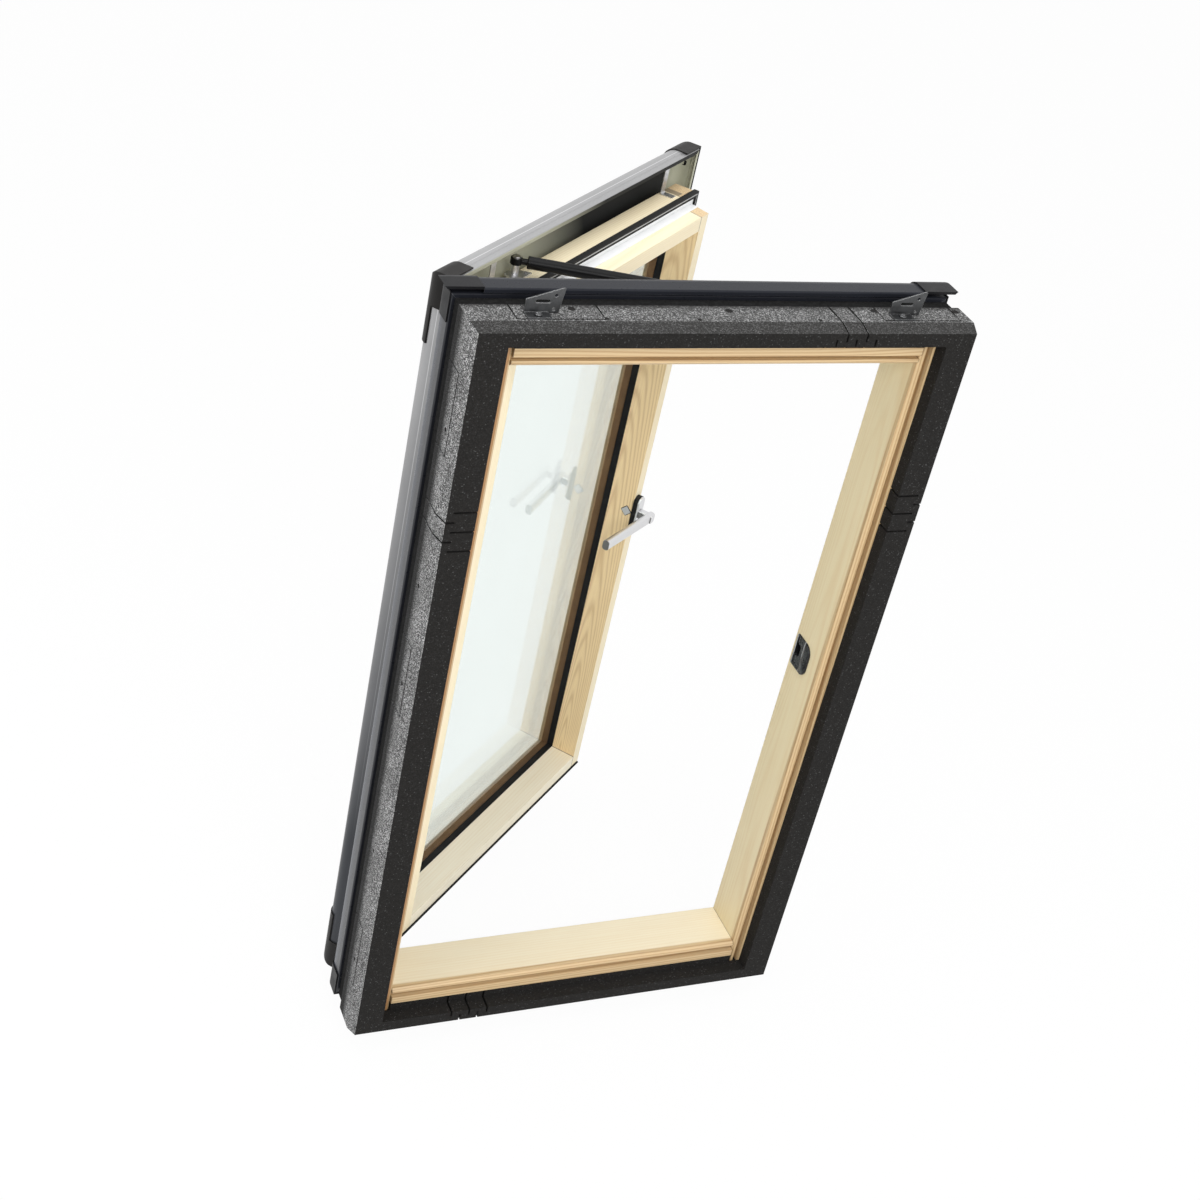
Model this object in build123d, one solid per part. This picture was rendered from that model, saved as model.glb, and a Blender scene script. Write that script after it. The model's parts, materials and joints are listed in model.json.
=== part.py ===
from build123d import *
import math
import os

os.makedirs("parts", exist_ok=True)

# Side-hung roof exit window: a timber frame in a moulded insulation block, with a glazed sash hung on the left.
# X runs to the right as seen from the room, Y runs outwards and Z runs up the window. The origin is the middle
# of the four fixing slots, on the room side of the bracket plates. Lengths are in millimetres.

# Clear opening of the frame
clear_width = 620
clear_height = 1140

# Frame timber, with the lining groove in its room edge
frame_thick = 28
frame_depth = 92
jamb_horn = 18
jamb_horn_setback = 16
nose_width = 8
nose_chamfer = 4
nose_setback = 3
groove_width = 7
groove_depth = 13

# Insulation block
block_margin = 62.5
block_depth = 68
block_flare = 6
block_flare_depth = 23
block_lip_side = 19
block_lip_end = 42
wood_recess = 24
slit_width = 3
slit_pitch = 31
slit_skin = 9
slit_depth = 13
slit_inset_end = 130
slit_inset_side = 237
pocket_length = 126
pocket_inset = 27
pocket_line = 2.2
pocket_line_depth = 4
pocket_shift = 24
pocket_inset_upper = 72
pocket_middle = 60
pocket_inset_lower = 84

# Underlay collar between the block and the covers
collar_reach = 64
collar_depth = 30.4
collar_chamfer = 5

# Frame covers: folded sheet round the outside of the frame timber
cover_gauge = 1.4
cover_reach = 68
cover_front = 24
cover_leg = 14
cover_round = 17
cover_bend = 2.5
cover_skirt = 41
cover_hem = 7
frame_corner_leg = 42
frame_corner_wall = 2
frame_corner_gap = 0.2
hood_reach = 78
hood_start = 50
hood_rise = 2.2
hood_drop = 5
hood_round = 22

# Installation brackets
bracket_gauge = 2
bracket_setback = 44
bracket_width = 48
bracket_low = 20
bracket_high = 37
bracket_lean = 5
bracket_round = 2
bracket_foot_width = 34
bracket_foot_depth = 17
bracket_slot_width = 5
bracket_slot_length = 21
bracket_slot_rise = 17
bracket_inset = 36
bracket_hole = 5
bracket_hole_inset = 7
bracket_hole_rise_low = 6
bracket_hole_rise_high = 25
bracket_screw = 5
bracket_screw_head = 10
bracket_screw_head_high = 3
bracket_screw_bite = 12
bracket_screw_clearance = 0.05

# Sash timber, measured outwards from the edge of the glass opening
reveal_inset = 30
sash_face = 24
sash_side = 26
sash_overlap = 43
sash_bevel_depth = 21
sash_setback = 61
step_gap = 5.2
sash_rim_depth = 38
rebate_width = 14
reveal_depth = 47

# Glazing
seal_height = 12
pane_thick = 4
pane_gap = 14
pane_edge = 12
spacer_edge = 9
spacer_width = 8
outer_gasket_width = 8
outer_gasket_high = 2.5
outer_gasket_start = 2

# Weather gasket and its white carrier on the step of the sash
carrier_thick = 1
carrier_width = 10
carrier_leg = 15
gasket_width = 9
gasket_high = 4
gasket_wrap = 5
gasket_groove = 3
gasket_groove_depth = 1.5
bottom_seal_drop = 5
bottom_seal_low = 1.5

# Sash covers
sash_cover_gauge = 1.2
sash_cover_reach = 94
sash_cover_start = 2
sash_cover_seat = 10
sash_cover_front = 31
sash_cover_round = 20
sash_cover_bend = 2
sash_cover_skirt = 48
sash_cover_lip = 9
sash_cover_step = 1.5
sash_cover_step_bend = 1.5
sash_cover_hem = 7
cap_gap = 0.2
cap_wall = 2
cap_leg_end = 48
cap_leg_side = 106
cap_front = 66
cap_notch_start = 50
cap_notch_edge = 9
clip_width = 14
clip_gauge = 1.5
clip_foot = 20
clip_tab = 5.5
clip_rise = 2.2
clip_inset_end = 15
clip_side_share = 0.315

# Hinges
open_angle = 40
hinge_inset = 14
hinge_rise = 2
hinge_end_inset = 120
pin_dia = 8
pin_clearance = 0.05
knuckle_dia = 14
knuckle_length = 24
knuckle_gap = 0.4
leaf_gauge = 3
leaf_length = 64
leaf_foot = 11
leaf_plate_depth = 30

# Gas strut
strut_height = 22
strut_place = 165
strut_drop = 14
strut_foot_drop = 8
strut_lean = 21
tube_dia = 18
tube_wall = 1.5
tube_length = 200
tube_start = 16
tube_cap = 6
rod_dia = 8
rod_inside = 70
piston_length = 12
slide_clearance = 0.05
eye_dia = 17
eye_high = 9
stud_dia = 8
stud_head_dia = 12
stud_head_high = 2.5
stud_rest = 0.4
strut_plate_length = 46
strut_plate_gauge = 2.5
strut_plate_overhang = 6
strut_bracket_length = 40
strut_boss_dia = 14

# Handle and lock
handle_height = 8
handle_place = 9
rosette_width = 24
rosette_length = 66
rosette_base = 8
rosette_cover = 3
rosette_cover_inset = 1
neck_dia = 13
neck_reach = 20
neck_block_width = 14
neck_block_high = 15
neck_block_round = 3
neck_block_gap = 0.5
grip_length = 136
grip_width = 18.5
grip_thick = 12
grip_return = 14
grip_round = 5
spindle_side = 7
spindle_bite = 3
spindle_clearance = 0.3
spindle_end_gap = 0.5
neck_end_gap = 1
lock_depth = 18
lock_inset = 2
lock_width = 22
lock_setback = 9
lock_length = 120
bolt_thick = 7
bolt_high = 16
bolt_length = 19
bolt_setback = 17
bolt_clearance = 0.1
bolt_throw = 14
plate_side = 13
plate_thick = 1.2
plate_setback = 11

# Lock keep on the lock jamb
keep_depth = 48
keep_high = 58
keep_reach_in = 22
keep_plate = 2
keep_round = 18
keep_round_small = 4
keep_ramp = 2.5
keep_ramp_depth = 18
keep_wall = 2
keep_pocket_depth = 10
keep_pocket_margin = 3
keep_clearance = 0.2

overrun = 1
reach_all = 2000

# Levels along Y
room_y = -bracket_setback
wood_y = room_y + wood_recess
wood_out_y = wood_y + frame_depth
block_out_y = room_y + block_depth
collar_out_y = block_out_y + collar_depth
cover_out_y = wood_out_y + cover_front
hood_out_y = cover_out_y + hood_rise
sash_y = room_y + wood_recess + sash_setback
bevel_y = sash_y + sash_bevel_depth
step_y = wood_out_y + step_gap
rim_y = step_y + sash_rim_depth
rebate_y = sash_y + reveal_depth
glass_y = rebate_y + seal_height
glass_out_y = glass_y + pane_thick + pane_gap + pane_thick
cover_seat_y = glass_out_y + outer_gasket_high
sash_front_y = cover_seat_y + sash_cover_front
hinge_y = cover_seat_y + hinge_rise
skirt_low_y = sash_front_y - sash_cover_skirt

# Half sizes in X and Z
half_w = clear_width / 2
half_h = clear_height / 2
wood_w = half_w + frame_thick
wood_h = half_h + frame_thick
jamb_h = wood_h + jamb_horn
block_w = half_w + block_margin
block_h = half_h + block_margin
flare_w = block_w + block_flare
flare_h = block_h + block_flare
glass_w = half_w - reveal_inset
glass_h = half_h - reveal_inset
hinge_x = -(glass_w + sash_cover_reach - hinge_inset)

# Places that follow the size of the window
bracket_spacing = clear_width - 2 * bracket_inset
slit_place_end = half_w - slit_inset_end
slit_place_side = half_h - slit_inset_side
pocket_places_end = (pocket_shift - bracket_spacing / 2, pocket_shift + bracket_spacing / 2)
pocket_places_side = (half_h - pocket_inset_upper, pocket_middle, pocket_inset_lower - half_h)
clip_places_end = (clip_inset_end - glass_w, glass_w - clip_inset_end)
clip_places_side = (-clip_side_share * glass_h, clip_side_share * glass_h)
hinge_places = (hinge_end_inset - glass_h, 0, glass_h - hinge_end_inset)

TURNS = {"top": 0, "right": 90, "bottom": 180, "left": 270}


def edge_of(side):
    """Half size across a side and half size along it, for the two reference rectangles."""
    return (half_h, half_w) if side in ("top", "bottom") else (half_w, half_h)


def glass_edge_of(side):
    return (glass_h, glass_w) if side in ("top", "bottom") else (glass_w, glass_h)


def turned(shape, side):
    return Rot(0, TURNS[side], 0) * shape


def slab(width, height, low, high):
    return Pos(0, (low + high) / 2, 0) * Box(width, high - low, height)


def block_at(x0, x1, y0, y1, z0, z1):
    return Pos((x0 + x1) / 2, (y0 + y1) / 2, (z0 + z1) / 2) * Box(x1 - x0, y1 - y0, z1 - z0)


def ring(outer_w, outer_h, inner_w, inner_h, low, high):
    hole = slab(2 * inner_w, 2 * inner_h, low - overrun, high + overrun)
    return slab(2 * outer_w, 2 * outer_h, low, high) - hole


def section(points, edge):
    """Face of a profile given as (outwards, Y) points, standing outside the edge of a rectangle."""
    return Plane.YZ * make_face(Polyline(*[(y, edge + out) for out, y in points], close=True))


def sheet(points, bends, gauge, edge, outset=0):
    """Face of a folded sheet whose outer skin follows the points, moved out by the outset."""
    drawn = [(y, edge + out) for out, y in points]
    skin = shifted(drawn, -outset)
    back = shifted(skin, gauge)
    turns = []
    for (x0, y0), (x1, y1), (x2, y2) in zip(drawn, drawn[1:], drawn[2:]):
        turns.append(1 if (x1 - x0) * (y2 - y1) < (y1 - y0) * (x2 - x1) else -1)
    skin_bends = [bend + turn * outset for bend, turn in zip(bends, turns)]
    back_bends = [bend - turn * gauge for bend, turn in zip(skin_bends, turns)]
    front_line = FilletPolyline(*skin, radius=skin_bends)
    back_line = FilletPolyline(*back, radius=back_bends)
    ends = [Line(skin[0], back[0]), Line(skin[-1], back[-1])]
    return Plane.YZ * make_face([*front_line.edges(), *back_line.edges(), *ends])


def shifted(points, gap):
    """Points of a line of straight pieces, moved to its right by the gap."""
    pieces = []
    for (x0, y0), (x1, y1) in zip(points, points[1:]):
        length = math.hypot(x1 - x0, y1 - y0)
        across = ((y1 - y0) / length * gap, (x0 - x1) / length * gap)
        pieces.append(((x0 + across[0], y0 + across[1]), (x1 - x0, y1 - y0)))
    moved = [pieces[0][0]]
    for ((x0, y0), (dx0, dy0)), ((x1, y1), (dx1, dy1)) in zip(pieces, pieces[1:]):
        run = ((x1 - x0) * dy1 - (y1 - y0) * dx1) / (dx0 * dy1 - dy0 * dx1)
        moved.append((x0 + run * dx0, y0 + run * dy0))
    (x0, y0), (dx0, dy0) = pieces[-1]
    moved.append((x0 + dx0, y0 + dy0))
    return moved


def bar(face, half_length):
    return extrude(face, half_length, both=True)


def mitred(face, along, edge, low, high):
    """Bar along a side with both ends cut at 45 degrees, from low to high outside the edge."""
    corners = [(-along - low, edge + low), (along + low, edge + low), (along + high, edge + high)]
    corners.append((-along - high, edge + high))
    window = extrude(Plane.XZ * make_face(Polyline(*corners, close=True)), reach_all, both=True)
    return bar(face, along + high) & window


def swung(shape):
    """Carries a piece of the closed sash to the modelled open position."""
    return Pos(hinge_x, hinge_y, 0) * Rot(0, 0, open_angle) * Pos(-hinge_x, -hinge_y, 0) * shape


def write(name, shape):
    solids = shape.solids()
    export_step(Compound(solids) if len(solids) > 1 else solids[0], f"parts/{name}.step")


def lying(dia, length):
    """Cylinder along X from the origin."""
    return Rot(0, 90, 0) * Cylinder(dia / 2, length, align=(Align.CENTER, Align.CENTER, Align.MIN))


def upright(dia, length):
    return Cylinder(dia / 2, length, align=(Align.CENTER, Align.CENTER, Align.MIN))


def deep(dia, length):
    """Cylinder along Y from the origin."""
    return Rot(-90, 0, 0) * Cylinder(dia / 2, length, align=(Align.CENTER, Align.CENTER, Align.MIN))


# Frame timber
def frame_section(edge):
    nose_y = wood_y + nose_setback
    groove_y = wood_y + groove_depth
    lip = nose_width + groove_width
    return section(
        [
            (0, nose_y + nose_chamfer),
            (nose_chamfer, nose_y),
            (nose_width, nose_y),
            (nose_width, groove_y),
            (lip, groove_y),
            (lip, wood_y),
            (frame_thick, wood_y),
            (frame_thick, wood_out_y),
            (0, wood_out_y),
        ],
        edge,
    )


def bracket_screw_holes(side):
    """Screw holes through the block and into the timber, under the bracket feet of the top or bottom."""
    low = screw_tip_z()
    hole = upright(bracket_screw + 2 * bracket_screw_clearance, flare_h + bracket_gauge + overrun - low)
    holes = [Pos(x + bracket_shift(), foot_screw_y(), low) * hole for x in bracket_places()]
    return holes if side == "top" else [mirrored(hole) for hole in holes]


def screw_tip_z():
    return wood_h - bracket_screw_bite


def bracket_places():
    return (-bracket_spacing / 2, bracket_spacing / 2)


def foot_screw_y():
    return -bracket_foot_depth / 2


def frame_members():
    jamb = bar(frame_section(half_w), jamb_h)
    for end in (-1, 1):
        middle = end * (wood_h + jamb_horn)
        step = Pos(middle, wood_out_y, wood_w) * Box(2 * jamb_horn, 2 * jamb_horn_setback, 2 * frame_thick + overrun)
        jamb -= step
    rail = bar(frame_section(half_h), half_w)
    members = {
        "frame_head": rail,
        "frame_sill": turned(rail, "bottom"),
        "frame_jamb_hinge": turned(jamb, "left"),
        "frame_jamb_lock": turned(jamb, "right"),
    }
    for name, side in (("frame_head", "top"), ("frame_sill", "bottom")):
        for hole in bracket_screw_holes(side):
            members[name] -= hole
    members["frame_jamb_lock"] -= keep_mortise()
    return members


# Insulation block
def block_opening(low, high):
    """Space of the frame timber, with the jambs running past head and sill."""
    between = slab(2 * wood_w, 2 * wood_h, low, high)
    jambs = slab(2 * wood_w, 2 * jamb_h, low, high) - slab(clear_width, 2 * jamb_h, low, high)
    return between + jambs


def flex_slits(edge, lip, place):
    """Three slits from the inner side and two from the outer, so that the block gives along this side."""
    outer = edge + block_margin
    cuts = []
    for step in (-1, 0, 1):
        x = place + step * slit_pitch
        cuts.append((x, edge + lip - overrun, outer - slit_skin))
    for step in (-1 / 2, 1 / 2):
        x = place + step * slit_pitch
        cuts.append((x, outer - slit_depth, outer + block_flare + overrun))
    low, high = room_y - overrun, block_out_y + overrun
    half = slit_width / 2
    return [block_at(x - half, x + half, low, high, z0, z1) for x, z0, z1 in cuts]


def pocket_outline(edge, place):
    """Incised outline of a bracket pocket on the outer face of the block, open towards the covers."""
    top = edge + block_margin + block_flare
    bottom = top - pocket_line_depth
    line_y = room_y + pocket_inset
    x0, x1 = place - pocket_length / 2, place + pocket_length / 2
    end = block_out_y + overrun
    return [
        block_at(x0, x1, line_y, line_y + pocket_line, bottom, top + overrun),
        block_at(x0, x0 + pocket_line, line_y, end, bottom, top + overrun),
        block_at(x1 - pocket_line, x1, line_y, end, bottom, top + overrun),
    ]


def insulation_block():
    flare_y = room_y + block_flare_depth
    outward = Plane(origin=(0, room_y, 0), x_dir=(1, 0, 0), z_dir=(0, 1, 0))
    face = outward * Rectangle(2 * block_w, 2 * block_h)
    wide = outward.offset(block_flare_depth) * Rectangle(2 * flare_w, 2 * flare_h)
    body = loft([face, wide]) + slab(2 * flare_w, 2 * flare_h, flare_y, block_out_y)
    lip_w, lip_h = half_w + block_lip_side, half_h + block_lip_end
    body -= slab(2 * lip_w, 2 * lip_h, room_y - overrun, wood_y)
    body -= block_opening(wood_y, block_out_y + overrun)
    places = {"top": slit_place_end, "bottom": slit_place_end}
    places.update({"left": slit_place_side, "right": -slit_place_side})
    cuts = []
    for side, place in places.items():
        edge = edge_of(side)[0]
        inner = min(block_lip_end, frame_thick) if side in ("top", "bottom") else block_lip_side
        cuts += [turned(cut, side) for cut in flex_slits(edge, inner, place)]
    for side in ("top", "bottom"):
        for place in pocket_places_end:
            lines = pocket_outline(half_h, place)
            cuts += lines if side == "top" else [mirrored(line) for line in lines]
        cuts += bracket_screw_holes(side)
    for sign, side in ((1, "left"), (-1, "right")):
        for place in pocket_places_side:
            cuts += [turned(cut, side) for cut in pocket_outline(half_w, sign * place)]
    for cut in cuts:
        body -= cut
    return body


def underlay_collar():
    reach_w, reach_h = half_w + collar_reach, half_h + collar_reach
    body = slab(2 * reach_w, 2 * reach_h, block_out_y, collar_out_y)
    rim = body.faces().filter_by(Axis.Y).sort_by(Axis.Y)[-1].edges()
    return chamfer(rim, collar_chamfer) - block_opening(block_out_y - overrun, collar_out_y + overrun)


# Frame covers
def cover_path():
    """Outer skin of a frame cover, from its hem over the shoulder to the leg along the timber."""
    low = cover_out_y - cover_skirt
    return [
        (cover_reach - cover_hem, low),
        (cover_reach, low),
        (cover_reach, cover_out_y),
        (frame_thick, cover_out_y),
        (frame_thick, wood_out_y - cover_leg),
    ]


def frame_cover(side):
    edge, along = edge_of(side)
    face = sheet(cover_path(), (cover_bend, cover_round, cover_bend), cover_gauge, edge)
    return turned(mitred(face, along, edge, 0, cover_reach + cover_hem), side)


def hood_path():
    """Outer skin of the round hood that lies over the top cover, from its hem to its upper edge."""
    low = cover_out_y - cover_skirt - hood_drop
    return [
        (hood_reach - cover_hem, low),
        (hood_reach, low),
        (hood_reach, hood_out_y),
        (hood_start, hood_out_y),
    ]


def frame_hood():
    face = sheet(hood_path(), (cover_bend, hood_round), cover_gauge, half_h)
    return bar(face, half_w + cover_reach - frame_corner_leg - frame_corner_gap)


def frame_corner(end, flank):
    """Moulded corner piece over the mitre between two covers, and over the end of the hood."""
    out = frame_corner_gap + frame_corner_wall
    pieces = []
    for side in (end, flank):
        edge, along = edge_of(side)
        if side == "top":
            path, bend, wall = hood_path()[1:], hood_round, frame_corner_wall + hood_rise
        else:
            path, bend, wall = cover_path()[1:4], cover_round, frame_corner_wall
            path[2] = (frame_thick + cover_hem, cover_out_y)
        face = sheet(path, (bend,), wall, edge, out)
        pieces.append(turned(mitred(face, along, edge, 0, hood_reach + cover_hem + out), side))
    near_w = half_w + cover_reach - frame_corner_leg
    near_h = half_h + cover_reach - frame_corner_leg
    return corner_of(pieces[0], pieces[1], end, flank, near_w, near_h)


def corner_of(end_bar, flank_bar, end, flank, from_x, from_z):
    """Keeps the end bar beyond from_x and the flank bar beyond from_z, joined at their mitre."""
    sign_x = 1 if flank == "right" else -1
    sign_z = 1 if end == "top" else -1
    half = reach_all / 2
    end_keep = Pos(sign_x * (from_x + half), 0, 0) * Box(reach_all, reach_all, reach_all * 2)
    flank_keep = Pos(0, 0, sign_z * (from_z + half)) * Box(reach_all * 2, reach_all, reach_all)
    return (end_bar & end_keep) + (flank_bar & flank_keep)


# Installation brackets
def bracket():
    """Bracket for the top of the frame: a plate parallel to the roof and a foot on the block."""
    base = flare_h
    half = bracket_width / 2
    outline = Polyline(
        (-half, base),
        (half, base),
        (half + bracket_lean, base + bracket_high),
        (-half, base + bracket_low),
        close=True,
    )
    face = Plane.XZ * make_face(outline)
    plate = extrude(face, -bracket_gauge)
    tops = plate.edges().filter_by(Axis.Y).sort_by(Axis.Z)[-2:]
    plate = fillet(tops, bracket_round)
    plate += block_at(
        -half,
        -half + bracket_foot_width,
        -bracket_foot_depth,
        bracket_gauge,
        base,
        base + bracket_gauge,
    )
    slot = Plane.XZ * SlotOverall(bracket_slot_length, bracket_slot_width)
    plate -= Pos(0, 0, base + bracket_slot_rise) * extrude(slot, 2 * bracket_gauge, both=True)
    hole_x = half - bracket_hole_inset
    for rise in (bracket_hole_rise_low, bracket_hole_rise_high):
        plate -= Pos(hole_x, -overrun, base + rise) * deep(bracket_hole, bracket_gauge + 2 * overrun)
    return plate


def bracket_shift():
    """The foot's screw lies under the middle of the foot, and the slot in the middle of the plate."""
    return bracket_foot_width / 2 - bracket_width / 2


def mirrored(shape):
    return shape.mirror(Plane.XY)


# Sash timber
def sash_section(edge):
    return section(
        [
            (0, sash_y),
            (sash_face, sash_y),
            (sash_side, bevel_y),
            (sash_side, step_y),
            (sash_overlap, step_y),
            (sash_overlap, rim_y),
            (rebate_width, rim_y),
            (rebate_width, rebate_y),
            (0, rebate_y),
        ],
        edge,
    )


def beyond_stile():
    """Space past the end of a stile's inner part, which slopes and stops like the side of a rail."""
    face_h, side_h = glass_h + sash_face, glass_h + sash_side
    outline = Polyline(
        (face_h, sash_y),
        (side_h, bevel_y),
        (side_h, step_y),
        (reach_all, step_y),
        (reach_all, sash_y),
        close=True,
    )
    return extrude(make_face(outline), reach_all)


def sash_members():
    stile = bar(sash_section(glass_w), glass_h + sash_overlap)
    beyond = beyond_stile()
    stile = stile - beyond - beyond.mirror(Plane.YZ)
    hinge_stile, lock_stile = turned(stile, "left"), turned(stile, "right")
    rail = bar(sash_section(glass_h), glass_w + rebate_width)
    rail = rail - hinge_stile - lock_stile
    lock_stile -= lock_mortise()
    lock_stile -= spindle_bore()
    return {
        "sash_top_rail": rail,
        "sash_bottom_rail": turned(rail, "bottom"),
        "sash_hinge_stile": hinge_stile,
        "sash_lock_stile": lock_stile,
    }


# Glazing
def glazing():
    low = glass_y
    pane_w, pane_h = glass_w + pane_edge, glass_h + pane_edge
    mid = low + pane_thick
    far = mid + pane_gap
    out_w, out_h = glass_w + spacer_edge, glass_h + spacer_edge
    lap_w, lap_h = glass_w + outer_gasket_start, glass_h + outer_gasket_start
    return {
        "inner_pane": slab(2 * pane_w, 2 * pane_h, low, mid),
        "glass_spacer": ring(out_w, out_h, out_w - spacer_width, out_h - spacer_width, mid, far),
        "outer_pane": slab(2 * pane_w, 2 * pane_h, far, far + pane_thick),
        "glazing_seal": ring(pane_w, pane_h, glass_w, glass_h, rebate_y, glass_y),
        "outer_gasket": ring(
            lap_w + outer_gasket_width,
            lap_h + outer_gasket_width,
            lap_w,
            lap_h,
            glass_out_y,
            cover_seat_y,
        ),
    }


def weather_seals():
    base_w, base_h = glass_w + sash_side, glass_h + sash_side
    mid_w, mid_h = base_w + carrier_width, base_h + carrier_width
    far_w, far_h = mid_w + gasket_width, mid_h + gasket_width
    wood_edge_w, wood_edge_h = glass_w + sash_overlap, glass_h + sash_overlap
    gasket = ring(far_w, far_h, mid_w, mid_h, step_y - gasket_high, step_y)
    gasket += ring(far_w, far_h, wood_edge_w, wood_edge_h, step_y, step_y + gasket_wrap)
    line_w, line_h = mid_w + gasket_groove, mid_h + gasket_groove
    cut_low = step_y - gasket_high
    gasket -= ring(
        line_w + gasket_groove,
        line_h + gasket_groove,
        line_w,
        line_h,
        cut_low - overrun,
        cut_low + gasket_groove_depth,
    )
    seal_face = section(
        [
            (sash_face, sash_y),
            (sash_face + bottom_seal_drop, sash_y),
            (sash_side + bottom_seal_low, bevel_y),
            (sash_side, bevel_y),
        ],
        glass_h,
    )
    carrier = ring(mid_w, mid_h, base_w, base_h, step_y - carrier_thick, step_y)
    leg_w, leg_h = base_w + carrier_thick, base_h + carrier_thick
    carrier += ring(leg_w, leg_h, base_w, base_h, step_y - carrier_leg, step_y)
    return {
        "seal_carrier": carrier,
        "weather_gasket": gasket,
        "sash_bottom_seal": turned(bar(seal_face, glass_w), "bottom"),
    }


# Sash covers and corner caps
def sash_cover_path():
    """Outer skin of a sash cover, from its hem over the set-in lip and shoulder to its seat on the glass."""
    lip = sash_cover_reach - sash_cover_step
    lip_y = skirt_low_y + sash_cover_lip
    seat_y = cover_seat_y + sash_cover_gauge
    return [
        (lip - sash_cover_hem, skirt_low_y),
        (lip, skirt_low_y),
        (lip, lip_y),
        (sash_cover_reach, lip_y + sash_cover_step),
        (sash_cover_reach, sash_front_y),
        (sash_cover_start + sash_cover_seat, seat_y),
        (sash_cover_start, seat_y),
    ]


def sash_cover(side):
    edge, along = glass_edge_of(side)
    lip_bends = (sash_cover_bend, sash_cover_step_bend, sash_cover_step_bend)
    bends = (*lip_bends, sash_cover_round, sash_cover_bend)
    face = sheet(sash_cover_path(), bends, sash_cover_gauge, edge)
    low = sash_cover_start - overrun
    return turned(mitred(face, along, edge, low, sash_cover_reach + overrun), side)


def cap_notch(end, flank):
    """Opening in the side leg of a cap through which the cover shows."""
    sign_x = 1 if flank == "right" else -1
    sign_z = 1 if end == "top" else -1
    reach_h = glass_h + sash_cover_reach
    low, high = reach_h - cap_leg_side - overrun, reach_h - cap_notch_start
    side = glass_w + sash_cover_reach
    y0 = skirt_low_y + cap_notch_edge
    y1 = sash_front_y - sash_cover_round
    notch = block_at(side - overrun, side + reach_all, y0, y1, low, high)
    notch = notch if sign_z > 0 else mirrored(notch)
    return notch if sign_x > 0 else notch.mirror(Plane.YZ)


def corner_cap(end, flank):
    out = cap_gap + cap_wall
    path = [(sash_cover_reach, skirt_low_y), *sash_cover_path()[4:6]]
    bars = []
    for side in (end, flank):
        edge, along = glass_edge_of(side)
        face = sheet(path, (sash_cover_round,), cap_wall, edge, out)
        far = sash_cover_reach + out + overrun
        bars.append(turned(mitred(face, along, edge, sash_cover_reach - cap_front, far), side))
    from_x = glass_w + sash_cover_reach - cap_leg_end
    from_z = glass_h + sash_cover_reach - cap_leg_side
    return corner_of(bars[0], bars[1], end, flank, from_x, from_z) - cap_notch(end, flank)


def cover_clip(side, place):
    """Bent strip that carries the cover's skirt from the side of the sash timber."""
    edge = glass_edge_of(side)[0]
    tip = sash_cover_reach - sash_cover_step - sash_cover_gauge
    web_y = skirt_low_y + clip_rise
    path = [
        (sash_overlap + clip_gauge, web_y - clip_foot),
        (sash_overlap + clip_gauge, web_y),
        (tip, web_y),
        (tip, web_y + clip_tab),
    ]
    face = sheet(path, (sash_cover_bend, sash_cover_bend), clip_gauge, edge)
    return turned(Pos(place, 0, 0) * bar(face, clip_width / 2), side)


def cover_clips():
    clips = []
    for side in ("top", "bottom"):
        clips += [cover_clip(side, place) for place in clip_places_end]
    for side in ("left", "right"):
        clips += [cover_clip(side, place) for place in clip_places_side]
    return clips


# Hinges
def knuckle(low, high):
    ring_part = upright(knuckle_dia, high - low) - upright(pin_dia + 2 * pin_clearance, high - low)
    return Pos(hinge_x, hinge_y, low) * ring_part


def pin_hole(low, high):
    hole = upright(pin_dia + 2 * pin_clearance, high - low)
    return Pos(hinge_x, hinge_y, low) * hole


def hinge_frame_leaf(z):
    half, mid = leaf_length / 2, knuckle_length / 2
    low, high = z - mid, z + mid
    outer = -wood_w
    foot = block_at(outer, outer + leaf_foot, wood_out_y, wood_out_y + leaf_gauge, z - half, z + half)
    strap_low = hinge_y - knuckle_dia / 2
    web = block_at(outer, outer + leaf_gauge, wood_out_y, strap_low + leaf_gauge, low, high)
    strap = block_at(hinge_x, outer + leaf_gauge, strap_low, strap_low + leaf_gauge, low, high)
    return foot + web + (strap - pin_hole(low, high)) + knuckle(low, high)


def hinge_sash_leaf(z):
    half, mid = leaf_length / 2, knuckle_length / 2 + knuckle_gap
    side = -(glass_w + sash_overlap)
    strap_high = hinge_y + knuckle_dia / 2
    body = block_at(side - leaf_gauge, side, rim_y - leaf_plate_depth, strap_high, z - half, z + half)
    for low, high in ((z - half, z - mid), (z + mid, z + half)):
        strap = block_at(hinge_x, side, strap_high - leaf_gauge, strap_high, low, high)
        body += (strap - pin_hole(low, high)) + knuckle(low, high)
    return body


def hinge_pin(z):
    return Pos(hinge_x, hinge_y, z - leaf_length / 2) * upright(pin_dia, leaf_length)


# Gas strut, with its sash end S and its frame end F in plan
strut_z = glass_h + sash_overlap + strut_height
strut_closed = (strut_place, -strut_drop)
swing = math.radians(open_angle)
sash_end_x = hinge_x + strut_closed[0] * math.cos(swing) - strut_closed[1] * math.sin(swing)
sash_end_y = hinge_y + strut_closed[0] * math.sin(swing) + strut_closed[1] * math.cos(swing)
frame_end_y = hinge_y - strut_foot_drop
strut_length = (sash_end_y - frame_end_y) / math.sin(math.radians(strut_lean))
frame_end_x = sash_end_x + strut_length * math.cos(math.radians(strut_lean))


def along_strut(shape):
    """Carries a shape drawn along X from the sash end to the strut's place."""
    return Pos(sash_end_x, sash_end_y, strut_z) * Rot(0, 0, -strut_lean) * shape


def strut_eye(x):
    hole = upright(stud_dia + 2 * pin_clearance, eye_high)
    return Pos(x, 0, -eye_high / 2) * (upright(eye_dia, eye_high) - hole)


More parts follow.
